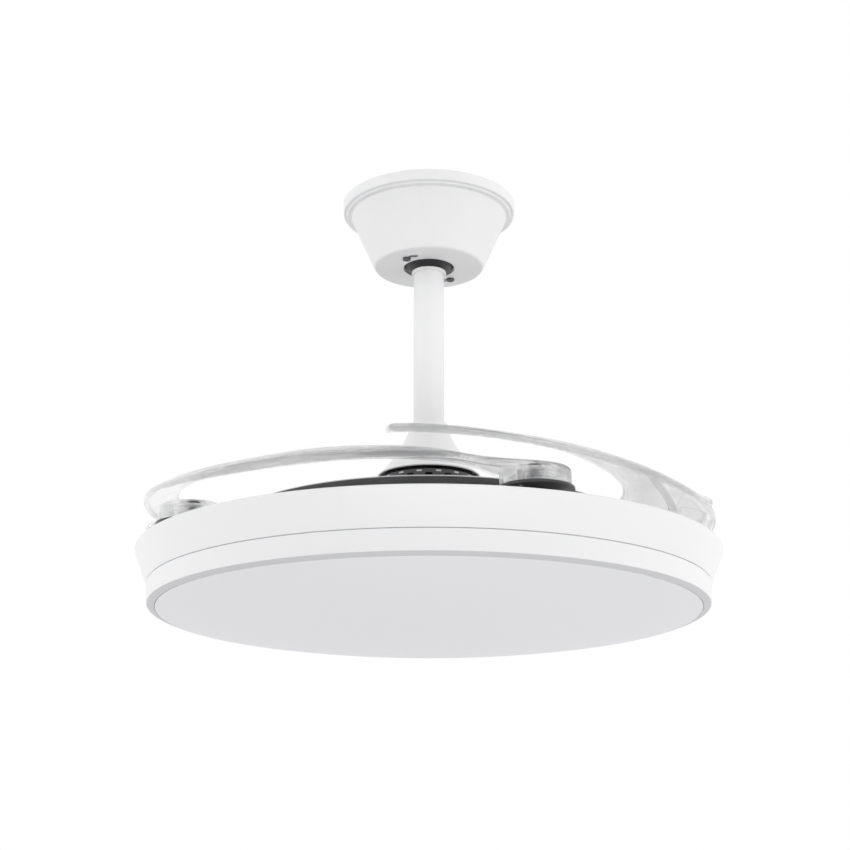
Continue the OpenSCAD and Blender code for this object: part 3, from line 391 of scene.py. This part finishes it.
def make_canopy():
    flange = CANOPY_TOP - 10.0
    taper = flange - 2.2
    outline = rounded([
        (CANOPY_HOLE, CANOPY_BOT, 0.5), (CUP_FOOT_R, CANOPY_BOT, 3.4), (CUP_TOP_R, taper, 1.2),
        (74.4, taper + 0.7, 0.6), (75.4, flange + 0.1, 0.6),
        (FLANGE_R - 0.6, flange + 0.4, 1.4), (FLANGE_R, CANOPY_TOP, 1.6),
        (FLANGE_R - CANOPY_WALL, CANOPY_TOP, 0.4), (76.6, flange + 1.5, 0.8),
        (CUP_TOP_R - CANOPY_WALL, taper + CANOPY_WALL, 0.8),
        (CUP_FOOT_R - 1.1, CANOPY_BOT + CANOPY_WALL, 2.4),
        (CANOPY_HOLE + CANOPY_WALL, CANOPY_BOT + CANOPY_WALL, 0.3)], steps=6)
    cup = lathe("canopy_shell", outline, M["white_paint"], segs=256)
    for side in (0, 180):
        for off, r in KEYHOLE:
            p = polar(SCREW_R, SCREW_ANGLE + side + off)
            drill(cup, (*p, CANOPY_BOT - 3), (*p, CANOPY_BOT + 4), r)
    stands_for(cup, "ceiling_mount", "white_paint", "canopy")


def make_hanger_ball():
    steps = 40
    arc = []
    for k in range(steps + 1):
        z = BALL_FOOT + (PIN_Z - BALL_FOOT) * k / steps
        arc.append((math.sqrt(BALL_R**2 - (z - BALL_Z)**2), z))
    profile = [(BALL_HOLE, BALL_FOOT)] + arc + [(BALL_HOLE, PIN_Z)]
    ball = lathe("hanger_ball_skin", profile, M["black_plastic"], segs=128, angle=30.0)
    past = BALL_R + 4
    drill(ball, (-past, 0, PIN_Z), (past, 0, PIN_Z), PIN_R)
    stands_for(ball, "hanger", "black_plastic", "hanger_ball")


make_canopy()
make_hanger_ball()


# ---------------------------------------------------------------- rod and bell
ROD_TOP, ROD_BOT = -18.0, -248.0
YOKE_PIN_Z, YOKE_PIN_R = -238.0, 3.1
BELL_TOP, BELL_BOT = -211.0, -260.5
BELL_NECK_R, BELL_R = 16.2, 45.0
BELL_FLARE = 1.48
BELL_WALL = 1.4


def make_downrod():
    bore = ROD_R - 2
    outline = rounded([(bore, ROD_BOT, 0.4), (ROD_R, ROD_BOT, 0.5), (ROD_R, ROD_TOP, 0.5),
                       (bore, ROD_TOP, 0.4)], steps=3)
    tube = lathe("downrod_tube", outline, M["white_paint"], segs=160)
    for z, r in ((PIN_Z, PIN_R), (YOKE_PIN_Z, YOKE_PIN_R)):
        drill(tube, (-20, 0, z), (20, 0, z), r)
    stands_for(tube, "hanger", "white_paint", "downrod")


def make_rod_ring():
    foot, outside = BALL_FOOT - 3, 15.6
    outline = rounded([(BALL_HOLE, foot, 0.3), (outside, foot, 0.9), (outside, BALL_FOOT, 0.5),
                       (BALL_HOLE, BALL_FOOT, 0.3)], steps=4)
    ring = lathe("rod_ring_skin", outline, M["white_plastic"], segs=128)
    stands_for(ring, "hanger", "white_plastic", "rod_ring")


def bell_radius(t):
    return BELL_NECK_R + (BELL_R - BELL_NECK_R) * t**BELL_FLARE


def make_bell():
    steps = 56
    span = BELL_TOP - BELL_BOT
    outer, inner = [], []
    for i in range(steps + 1):
        t = i / steps
        outer.append((bell_radius(t), BELL_TOP - span * t))
        inner.append((max(bell_radius(t) - BELL_WALL, ROD_R + 0.4), BELL_TOP - span * t))
    # eased edge at the neck, and a round mouth
    outer[0] = (outer[0][0] - 0.5, outer[0][1])
    outer.insert(1, (bell_radius(0.01) - 0.1, BELL_TOP - 0.5))
    outer[-1] = (BELL_R, BELL_BOT + 0.9)
    mouth = [(BELL_R - 0.3, BELL_BOT + 0.25), (BELL_R - 0.75, BELL_BOT),
             (BELL_R - 1.2, BELL_BOT + 0.3)]
    shell = lathe("bell_shell", outer + mouth + inner[::-1][1:], M["white_paint"], segs=192,
                  angle=40.0)
    (r0, r1), (z0, z1) = (35.6, 39.6), (-256.0, -254.4)
    seat = lathe("bell_seat", [(r0, z0), (r1, z0), (r1, z1), (r0, z1)], M["white_paint"],
                 segs=128)
    stands_for(join("bell_shell", [shell, seat]), "hanger", "white_paint", "bell_collar")


make_downrod()
make_rod_ring()
make_bell()


# ---------------------------------------------------------------- lamp
RIM_R = 250.0
UPPER_BOT = RIM_Z - 29.4
LOWER_TOP = UPPER_BOT - 0.5
LOWER_BOT = UPPER_BOT - 17.0
GROOVE_R = 239.3
LOWER_R = 238.2
WALL = 1.6                  # sheet of the lamp's rings
LIP_W = 6.9
LIP_DROP = 2.6              # the grey lip is this much lower at its inner edge
SAG = 24.0 - LIP_DROP       # the diffuser's dome
DISH_T = 2.0
RING_SEGS = 384


def make_upper_ring():
    deck, under, bore = RIM_Z - 3, RIM_Z - 4.5, 8.6
    outline = rounded([
        (bore, deck, 0), (243.0, deck, 1.0), (244.5, RIM_Z, 0.8), (RIM_R - 0.6, RIM_Z, 0.9),
        (RIM_R, RIM_Z - 1, 0.6), (GROOVE_R, UPPER_BOT, 0.5), (GROOVE_R - WALL, UPPER_BOT, 0.3),
        (246.6, under, 1.0), (bore, under, 0)])
    ring = lathe("upper_ring_body", outline, M["white_paint"], RING_SEGS)
    for turn in range(4):
        for r in (55.0, 150.0):
            p = polar(r, 45 + 90 * turn)
            drill(ring, (*p, RIM_Z - 8), (*p, RIM_Z + 2), 2.1, segs=24, angle=28.0)
    stands_for(ring, "hanger", "white_paint", "upper_ring")


def make_lower_ring():
    wall = GROOVE_R - 1.7
    hook, hook_t = UPPER_BOT + 6, 1.2
    inner = LOWER_R - LIP_W
    outline = rounded([
        (inner, LOWER_BOT - LIP_DROP, 0.7), (LOWER_R, LOWER_BOT, 1.4),
        (GROOVE_R, LOWER_TOP, 0.5), (wall, LOWER_TOP, 0), (wall, hook, 0.3),
        (wall - 5, hook, 0.3), (wall - 5, hook - hook_t, 0.3), (wall - WALL, hook - hook_t, 0.4),
        (wall - WALL, LOWER_BOT + WALL, 0.6), (inner, LOWER_BOT + WALL, 0.4)])
    ring = lathe("lower_ring_body", outline, M["white_paint"], RING_SEGS)
    # the lip's downward faces take the grey of painted shade
    ring.data.materials.append(M["lip_painted_shade"])
    for p in ring.data.polygons:
        x, y, z = p.center / MM
        faces_down = p.normal.z < -0.4
        if faces_down and z < LOWER_BOT + 0.8 and math.hypot(x, y) < LOWER_R - 0.3:
            p.material_index = 1
    stands_for(ring, "hanger", "white_paint", "lower_ring")


def make_diffuser():
    edge = LOWER_R - LIP_W - 0.3
    cap = (edge * edge + SAG * SAG) / (2 * SAG)
    seat = LOWER_BOT + WALL - LIP_DROP

    def dome(r, t):
        """Height of the dome at radius r, t above its outside."""
        return seat - SAG - WALL + t + cap - math.sqrt(cap * cap - r * r)
    steps = 72
    low = [(edge * i / steps, dome(edge * i / steps, 0.0)) for i in range(steps + 1)]
    low[-1] = (edge, dome(edge, 0) + 0.35)
    low.insert(-1, (edge - 0.35, dome(edge - 0.35, 0)))
    rim = [(edge, seat), (edge + 4.4, seat), (edge + 4.4, seat + DISH_T)]
    inside = edge - 1.5
    high = [(inside * i / steps, min(dome(inside * i / steps, DISH_T), seat + DISH_T))
            for i in range(steps, -1, -1)]
    dish = lathe("diffuser_dish", low + rim + high, M["opal"], RING_SEGS, angle=30.0)
    stands_for(dish, "hanger", "opal", "diffuser")


make_upper_ring()
make_lower_ring()
make_diffuser()


# ---------------------------------------------------------------- rotor
HUB_T = 2.5                 # sheet of the hub
HUB_TOP = RIM_Z + 28.6
HUB_SEAT = HUB_TOP - HUB_T
HUB_R = 171.0
HUB_BORE = 72.5
EAR_BOT = EAR_TOP - HUB_T
EAR_R = 30.5
PLATE_BORE = 150.0
MOTOR_TOP = -262.0
MOTOR_BOT = -328.0
NECK_R = 42.0
SHELL_R = 72.0
FLANGE_T = 3.0
VENTS = 16


def ear_reach(deg):
    """Outer radius of the hub's floor plate in the direction deg."""
    off = min(abs((deg - a + 180) % 360 - 180) for a in PIVOT_ANGLES)
    along, across = PIVOT_R * math.cos(math.radians(off)), math.sin(math.radians(off))
    flank = EAR_R / max(across, 1e-6)
    if flank * math.cos(math.radians(off)) <= PIVOT_R:
        return max(flank, HUB_R)
    return along + math.sqrt(EAR_R**2 - (PIVOT_R * across)**2)


def make_hub():
    skirt, inside = EAR_TOP - 0.6, HUB_R - HUB_T
    outline = rounded([
        (HUB_BORE, HUB_SEAT, 0.3), (HUB_BORE, HUB_TOP, 0.5), (HUB_R, HUB_TOP, 2.6),
        (HUB_R, skirt, 0), (inside, skirt, 0), (inside, HUB_SEAT, 1.2)], steps=6)
    dish = lathe("hub_dish", outline, M["black_paint"], segs=256)
    # the hub's top edge takes the grey metal: partly a bare edge, partly a painted highlight line
    # along it
    dish.data.materials.append(M["clip_metal_and_edge_highlight"])
    for p in dish.data.polygons:
        x, y, z = p.center / MM
        if math.hypot(x, y) > inside - 0.1 and z > HUB_TOP - 1.4:
            p.material_index = 1
    # the floor plate with its ears, whose inner corners are blurred round
    n, blur = 720, 5
    reach = np.array([ear_reach(360.0 * k / n) for k in range(n)])
    kernel = np.exp(-0.5 * (np.arange(-blur, blur + 1) / 1.6)**2)
    kernel /= kernel.sum()
    reach = sum(w * np.roll(reach, s) for w, s in zip(kernel, range(-blur, blur + 1)))
    low = [(PLATE_BORE, EAR_BOT + 0.4), (PLATE_BORE + 0.4, EAR_BOT)]
    rim = [(-0.6, EAR_BOT), (-0.15, EAR_BOT + 0.2), (0.0, EAR_BOT + 0.7),
           (0.0, EAR_TOP - 0.7), (-0.15, EAR_TOP - 0.2), (-0.6, EAR_TOP)]
    high = [(PLATE_BORE + 0.4, EAR_TOP), (PLATE_BORE, EAR_TOP - 0.4)]
    rows = ([([r] * n, z) for r, z in low] + [(reach + inset, z) for inset, z in rim]
            + [([r] * n, z) for r, z in high])
    verts = [(r * c, r * s, z) for radii, z in rows for r, (c, s) in zip(radii, around(n))]
    floor = new_piece("hub_floor", verts, skin_faces(len(rows), n, loop=True),
                      M["black_paint"])
    stands_for(join("hub_dish", [dish, floor]), "rotor", "black_paint", "rotor_hub")


def make_motor_cover():
    t = MOTOR_TOP
    s = t - 20.0                # shoulder
    b = MOTOR_BOT + 3.5         # foot flange
    outline = rounded([
        (12.0, t, 0.4), (NECK_R, t, 1.2), (NECK_R, t - 8.0, 1.2), (58.0, s + 4, 3.0),
        (70.4, s + 1, 3.0), (SHELL_R, s - 3, 2.0), (SHELL_R, HUB_SEAT, 0),
        (85.0, HUB_SEAT, 0.5), (85.0, HUB_SEAT - FLANGE_T, 0.5),
        (SHELL_R, HUB_SEAT - FLANGE_T, 0.5), (SHELL_R, b + FLANGE_T, 0.5),
        (80.0, b + FLANGE_T, 0.5), (80.0, b, 0.3), (SHELL_R - 3, b, 0), (SHELL_R - 3, s - 3, 1.0),
        (55.0, s + 1, 2.0), (NECK_R - 3, t - 9.0, 1.0), (NECK_R - 3, t - 3.5, 1.0),
        (24.0, t - 3.5, 0), (24.0, t - 18.0, 0.3), (20.0, t - 18.0, 0.3), (20.0, t - 6.0, 0),
        (12.0, t - 6.0, 0)])
    cover = lathe("motor_cover", outline, M["black_paint"], segs=192)
    pitch = 360 / VENTS
    vents = [block((NECK_R - 4.5, -3.0, t - 7.5), (NECK_R + 2, 3.0, t - 4.1), M["black_paint"],
                   pitch * k) for k in range(VENTS)]
    boolean(cover, join("cutter", vents), "DIFFERENCE")
    clips = [block((NECK_R - 0.5, -2.2, t - 3.2), (NECK_R + 0.5, 2.2, t - 1.9),
                   M["clip_metal_and_edge_highlight"], pitch * k + pitch / 2) for k in range(VENTS)]
    stands_for(join("neck_clips", clips), "rotor", "steel")
    stands_for(cover, "rotor", "black_paint", "motor_top_cover")


make_hub()
make_motor_cover()

# ---------------------------------------------------------------- return springs
COIL_R = 12.2
COIL_TURNS = 4
COIL_PITCH = 2.1
WIRE_R = 0.65
# the wire starts against the first peg: half a web, half a peg and a gap round from its angle
SPRING_START = 200.0 - math.degrees((1.5 + 2.2 + 0.3) / 22.5)


def tube_along(points, r):
    """Points and faces of a round tube along a path in mm."""
    sides = 12
    pts = [Vector(p) for p in points]
    n = len(pts)
    verts = []
    for i, p in enumerate(pts):
        d = (pts[min(i + 1, n - 1)] - pts[max(i - 1, 0)]).normalized()
        side = d.cross(Vector((0, 0, 1))).normalized()
        up = side.cross(d)
        verts += [tuple(p + r * (c * side + s * up)) for c, s in around(sides)]
    return verts, skin_faces(n, sides)


def make_springs():
    z0 = BOSS_Z + 0.9
    per_turn = 40
    last = COIL_TURNS * per_turn - 1
    fade = 7.0                  # steps over which each end widens
    path = [(*polar(r, SPRING_START), z0 - 0.1) for r in (20.0, 16.5)]
    for i in range(2, last):
        grow = (1.0 + 0.16 * max(0.0, 1.0 - i / fade)**2
                + 0.16 * max(0.0, 1 - (last - i) / fade)**2)
        path.append((*polar(COIL_R * grow, SPRING_START + 360.0 * i / per_turn),
                     z0 + COIL_PITCH * i / per_turn))
    path += [(*polar(r, SPRING_START + 360.0 * COIL_TURNS), z0 + COIL_PITCH * COIL_TURNS)
             for r in (14.6, 16.2)]
    v, f = tube_along(path, WIRE_R)
    verts, faces = [], []
    for a in PIVOT_ANGLES:
        turn = Matrix.Rotation(math.radians(a), 4, "Z") @ Matrix.Translation((PIVOT_R, 0, 0))
        off = len(verts)
        verts += [tuple(turn @ Vector(p)) for p in v]
        faces += [[off + i for i in face] for face in f]
    coils = new_piece("return_spring_coils", verts, faces, M["steel"], 40.0)
    stands_for(coils, "rotor", "steel", "return_springs")


make_springs()

# ---------------------------------------------------------------- blades
# Each blade sweeps clockwise from its post; a is the angle swept, d the distance in from
# the outer edge. The lines below are (angle, value).
SWEEP = 120.0
SHEET_T = 2.6
BLADE_OUT = 244.0
WAIST_LINE = [(0, PIVOT_R + BOSS_R - 1), (12, PIVOT_R + BOSS_R - 4), (21, BLADE_OUT),
              (SWEEP, BLADE_OUT)]
INNER_EDGE = [(0, 188), (6, 182), (12, 177), (17, 166), (24, 159), (40, 170), (60, 187),
              (80, 202), (100, 213), (SWEEP, 219)]
PITCH_LINE = [(10, 12.3), (45, 9), (80, 12.4), (SWEEP, 19)]
ROLL_LINE = [(0, 0), (14, 0), (28, 4.6), (42, 7), (57, 6.4), (72, 5), (86, 3), (98, 0.8),
             (SWEEP, 0)]
ROLL_W = 15.0
ROOT_START, ROOT_SPAN = 2.6, 12.9
CLIMB_START, CLIMB_SPAN = 51, 70
BLADE_LOW = 21.7
BLADE_CLIMB = 19.4
LIP_H = 4.8
LIP_T = 3.0
CAMBER = 1.5
TIP_START = SWEEP - 1.6
TIP_ROUND = 1.4
BOSS_ROOF = BOSS_TOP - 3.0
BOSS_INSIDE = BOSS_R - 2.4
POST_HOLE = 6.5
# the moulded rib under the sheet, from the boss out to the lip, and its section
RIB_LINE = [(6.0, 213.0), (14.0, 212.0), (22.0, 210.5), (30.0, 209.5), (38.0, 208.5),
            (46.0, 210.0), (54.0, 215.5), (63.0, 227.0), (70.0, 237.5)]
RIB_SECTION = [(-3.8, 0.6), (3.8, 0.6), (3.3, -1.6), (2.4, -2.4), (-2.4, -2.4), (-3.3, -1.6)]
EDGE_ANGLE = 35.0


def root_blend(a):
    """0 at the boss, 1 where the sheet has its own section."""
    return ease((a - ROOT_START) / ROOT_SPAN)


def tip_cut(a):
    """How far the rounded tip takes each edge in."""
    past = max(a - TIP_START, 0.0)
    return past * past * TIP_ROUND


def edge_out(a):
    return curve_at(a, WAIST_LINE) - tip_cut(a)


def edge_in(a):
    return curve_at(a, INNER_EDGE) + tip_cut(a)


def low_line(a):
    """Height of the outer lip's foot."""
    return RIM_Z + BLADE_LOW + BLADE_CLIMB * ease((a - CLIMB_START) / CLIMB_SPAN)


def rolled(d, a):
    """How much the rolled margin lifts the sheet at d."""
    v = 1 - min(max(d / ROLL_W, 0.0), 1.0)
    return curve_at(a, ROLL_LINE) * (1 - v * v)


def blade_top(r, a):
    """Height of the sheet's upper face."""
    out = edge_out(a) - 1
    u = (out - r) / (out - edge_in(a))
    full = (low_line(a) + LIP_H + (out - r) * math.tan(math.radians(curve_at(a, PITCH_LINE)))
            + CAMBER * 4 * u * (1 - u) + rolled(out - r, a))
    k = root_blend(a)
    return BOSS_TOP * (1 - k) + full * k


def edge_foot(a):
    """Height of the lip's foot, blended into the boss."""
    k = root_blend(a)
    f = (BOSS_TOP - SHEET_T) * (1 - k) + low_line(a) * k
    return min(f, blade_top(edge_out(a) - LIP_T, a) - SHEET_T - 0.3)


def swept(r, a, z):
    t = math.radians(a)
    return (r * math.cos(t), -r * math.sin(t), z)


def blade_outline(a, thin):
    """Closed outline of the sheet at the sweep angle a, with rounded edges."""
    ro, ri = edge_out(a), edge_in(a)
    t = SHEET_T * thin
    drop = (SHEET_T - t) / 2
    foot = edge_foot(a) + (1 - thin) * 1.5
    steps, bends = 20, 6
    spread = [(i / steps) ** 1.5 for i in range(steps + 1)]
    brink, nose, wall = ro - 1.3, ri + t / 2, ro - LIP_T
    top_edge = blade_top(brink, a) - drop
    pts = [(ro, top_edge - 1.3), (ro - 0.2, top_edge - 0.5), (ro - 0.6, top_edge - 0.12)]
    for w in spread:
        r = brink + (nose - brink) * w
        pts.append((r, blade_top(r, a) - drop))
    mid = blade_top(nose, a) - drop - t / 2
    for k in range(1, bends):
        w = math.pi / 2 + math.pi * k / bends
        pts.append((nose + t / 2 * math.cos(w), mid + t / 2 * math.sin(w)))
    start = wall - 1.2
    for w in spread[::-1]:
        r = start + (nose - start) * w
        pts.append((r, blade_top(r, a) - drop - t))
    under = blade_top(start, a) - drop - t
    pts += [(wall - 0.35, under - 0.25), (wall, under - 0.8), (wall + 0.25, foot + 0.25),
            (wall + 0.8, foot), (ro - 0.8, foot), (ro - 0.25, foot + 0.25), (ro, foot + 0.8)]
    return [swept(r, a, z) for r, z in pts]


def make_sheet():
    """The blade's sheet with its lip."""
    stations = [0, 1.5, 3] + [3 + 0.75 * k for k in range(1, 18)]
    stations += list(np.arange(17.0, TIP_START, 1.25))
    stations += [TIP_START, SWEEP - 1.1, SWEEP - 0.7, SWEEP - 0.4, SWEEP - 0.2, SWEEP]
    thin = {SWEEP - 0.4: 0.9, SWEEP - 0.2: 0.75, SWEEP: 0.5}
    rings = [blade_outline(float(a), thin.get(a, 1.0)) for a in stations]
    verts = [p for ring in rings for p in ring]
    return new_piece("blade_skin", verts, skin_faces(len(rings), len(rings[0])),
                     M["clear_blade"], EDGE_ANGLE)


def make_boss():
    """The hollow boss and, after it, the web beside the spring, both over the post."""
    top, bore = BOSS_TOP - 0.1, 5.0
    outline = rounded([
        (bore, BOSS_Z, 0), (10.0, BOSS_Z, 0.6), (10.3, BOSS_ROOF, 1.2),
        (BOSS_INSIDE - 0.1, BOSS_ROOF, 1.6), (BOSS_INSIDE, BOSS_Z, 0.7), (BOSS_R, BOSS_Z, 0.7),
        (BOSS_R - 0.2, top, 2.4), (bore, top, 0)])
    boss = lathe("boss", outline, M["clear_blade"], segs=128)
    web = block((17.0, -1.5, BOSS_Z + 1.6), (BOSS_INSIDE + 0.7, 1.5, BOSS_ROOF + 1.0),
                M["clear_blade"], 200.0)
    for ob in (boss, web):
        ob.data.transform(Matrix.Translation((PIVOT_R * MM, 0, 0)))
    return boss, web


def make_rib():
    """The moulded rib, which fades in at both ends."""
    first, last = 6.5, RIB_LINE[-1][0]
    spots = np.linspace(first, last, 52)
    verts = []
    for a in map(float, spots):
        fade = min(1.0, (a - first + 1.0) / 6.0, (last + 1.5 - a) / 8.0)
        for dr, dz in RIB_SECTION:
            r = curve_at(a, RIB_LINE) + dr
            z = blade_top(r, a) - SHEET_T
            verts.append(swept(r, a, z + (dz if dz > 0 else dz * fade)))
    return new_piece("rib", verts, skin_faces(len(spots), len(RIB_SECTION)),
                     M["clear_blade"], 40.0)


def paint_blade(blade):
    """Gives the lip, the boss and the rib their own tints."""
    lip, boss, rib = 1, 2, 3
    for name in ("clear_lip", "clear_boss", "clear_rib"):
        blade.data.materials.append(M[name])
    for p in blade.data.polygons:
        x, y, z = p.center / MM
        r, a = math.hypot(x, y), -math.degrees(math.atan2(y, x))
        upright = abs(p.normal.x * x + p.normal.y * y) / r > 0.7
        on_boss = math.hypot(x - PIVOT_R, y) < BOSS_R + 0.6
        if on_boss or (0.0 < a < 42.0 and r < edge_out(a) - ROLL_W
                       and z > blade_top(r, a) - 3.2):
            p.material_index = boss
        elif upright and r > BLADE_OUT - LIP_T - 0.6:
            p.material_index = lip
        elif (RIB_LINE[0][0] < a < RIB_LINE[-1][0] + 1 and abs(r - curve_at(a, RIB_LINE)) < 4.0
              and z < blade_top(r, a) - SHEET_T - 0.3):
            p.material_index = rib


def make_blade():
    """The blade with its pivot on +X: sheet, boss, web, rib and bore in one closed skin."""
    blade = make_sheet()
    boss, web = make_boss()
    for part in (boss, web, make_rib()):
        boolean(blade, part, "UNION", EDGE_ANGLE)
    drill(blade, (PIVOT_R, 0, BOSS_Z - 2), (PIVOT_R, 0, BOSS_TOP + 14), POST_HOLE, segs=96,
          angle=EDGE_ANGLE)
    paint_blade(blade)
    return blade


blades = [make_blade()]
for _ in PIVOT_ANGLES[1:]:
    ob = blades[0].copy()
    ob.data = blades[0].data.copy()
    bpy.context.scene.collection.objects.link(ob)
    blades.append(ob)
for i, (ob, a) in enumerate(zip(blades, PIVOT_ANGLES)):
    ob.data.transform(Matrix.Rotation(math.radians(a), 4, "Z"))
    ob.name = "blade_%d_clear" % (i + 1)
    stands_for(ob, "blade_%d" % (i + 1), "clear_blade", "blade_%d" % (i + 1))

# ---------------------------------------------------------------- studio, in metres
FLOOR_Z = -1.1
FLOOR_HALF = 9.0
FILL = 0.91                 # strength of the soft light from all sides
LAMP_AIM = (0, 0, -0.33)
PHOTO_PX = 850.0            # the photograph's width, and in pixels of it:
FOCAL_PX = 1633.0
AXIS_PX = 428.9             # where the fan's axis stands
CAMERA_Y = -1.3786
CAMERA_UNDER_RIM = 304.1    # mm
CAMERA_TILT = 17.12


def make_floor():
    me = bpy.data.meshes.new("studio_floor")
    s = FLOOR_HALF
    corners = ((-s, -s), (s, -s), (s, s), (-s, s))
    me.from_pydata([(x, y, FLOOR_Z) for x, y in corners], [], [[0, 1, 2, 3]])
    ob = bpy.data.objects.new("studio_floor", me)
    bpy.context.scene.collection.objects.link(ob)
    bsdf = new_material("floor_paper")[1]
    bsdf.inputs["Base Color"].default_value = (0.9, 0.9, 0.9, 1)
    bsdf.inputs["Roughness"].default_value = 0.9
    me.materials.append(M["floor_paper"])


def make_world():
    """White to look at, directly or in glass and gloss, and a little dimmer as light."""
    world = bpy.data.worlds.new("studio")
    bpy.context.scene.world = world
    world.use_nodes = True
    nt = world.node_tree
    nt.nodes.clear()
    seen = add_node(nt, "Background", Color=(1, 1, 1, 1), Strength=1.0)
    fill = add_node(nt, "Background", Color=(0.99, 0.99, 1.0, 1), Strength=FILL)
    path = add_node(nt, "LightPath")
    looking = path.outputs["Is Camera Ray"]
    for ray in ("Is Glossy Ray", "Is Transmission Ray"):
        either = add_node(nt, "Math")
        either.operation = "MAXIMUM"
        nt.links.new(looking, either.inputs[0])
        nt.links.new(path.outputs[ray], either.inputs[1])
        looking = either.outputs[0]
    mix = add_node(nt, "MixShader")
    nt.links.new(looking, mix.inputs["Fac"])
    nt.links.new(fill.outputs[0], mix.inputs[1])
    nt.links.new(seen.outputs[0], mix.inputs[2])
    nt.links.new(mix.outputs[0], add_node(nt, "OutputWorld").inputs["Surface"])


def add_area(name, place, aim, size, watts, spread=180):
    """A square lamp at place that shines at aim and isn't mirrored in gloss."""
    data = bpy.data.lights.new(name, "AREA")
    data.shape = "SQUARE"
    data.size = size
    data.energy = watts
    data.spread = math.radians(spread)
    ob = bpy.data.objects.new(name, data)
    ob.location = place
    way = Vector(aim) - Vector(place)
    ob.rotation_euler = way.to_track_quat("-Z", "Y").to_euler()
    ob.visible_glossy = False
    bpy.context.scene.collection.objects.link(ob)


make_floor()
make_world()
add_area("right", (2.1, -0.55, -0.7), LAMP_AIM, size=1.0, watts=10.0)
add_area("left", (-2.1, -0.4, -0.5), LAMP_AIM, size=1.0, watts=6.5)
add_area("front", (0.05, -1.35, -0.72), (0, 0, -0.12), size=0.2, watts=0.036, spread=14)

camera = bpy.data.objects.new("camera", bpy.data.cameras.new("camera"))
camera.location = (0.0, CAMERA_Y, (RIM_Z - CAMERA_UNDER_RIM) * MM)
camera.rotation_euler = (math.radians(90 + CAMERA_TILT), 0, 0)
camera.data.sensor_width = 36.0
camera.data.lens = FOCAL_PX / PHOTO_PX * camera.data.sensor_width
camera.data.shift_x = (PHOTO_PX / 2 - AXIS_PX) / PHOTO_PX
bpy.context.scene.collection.objects.link(camera)
bpy.context.scene.camera = camera
bpy.context.scene.view_settings.view_transform = "Standard"
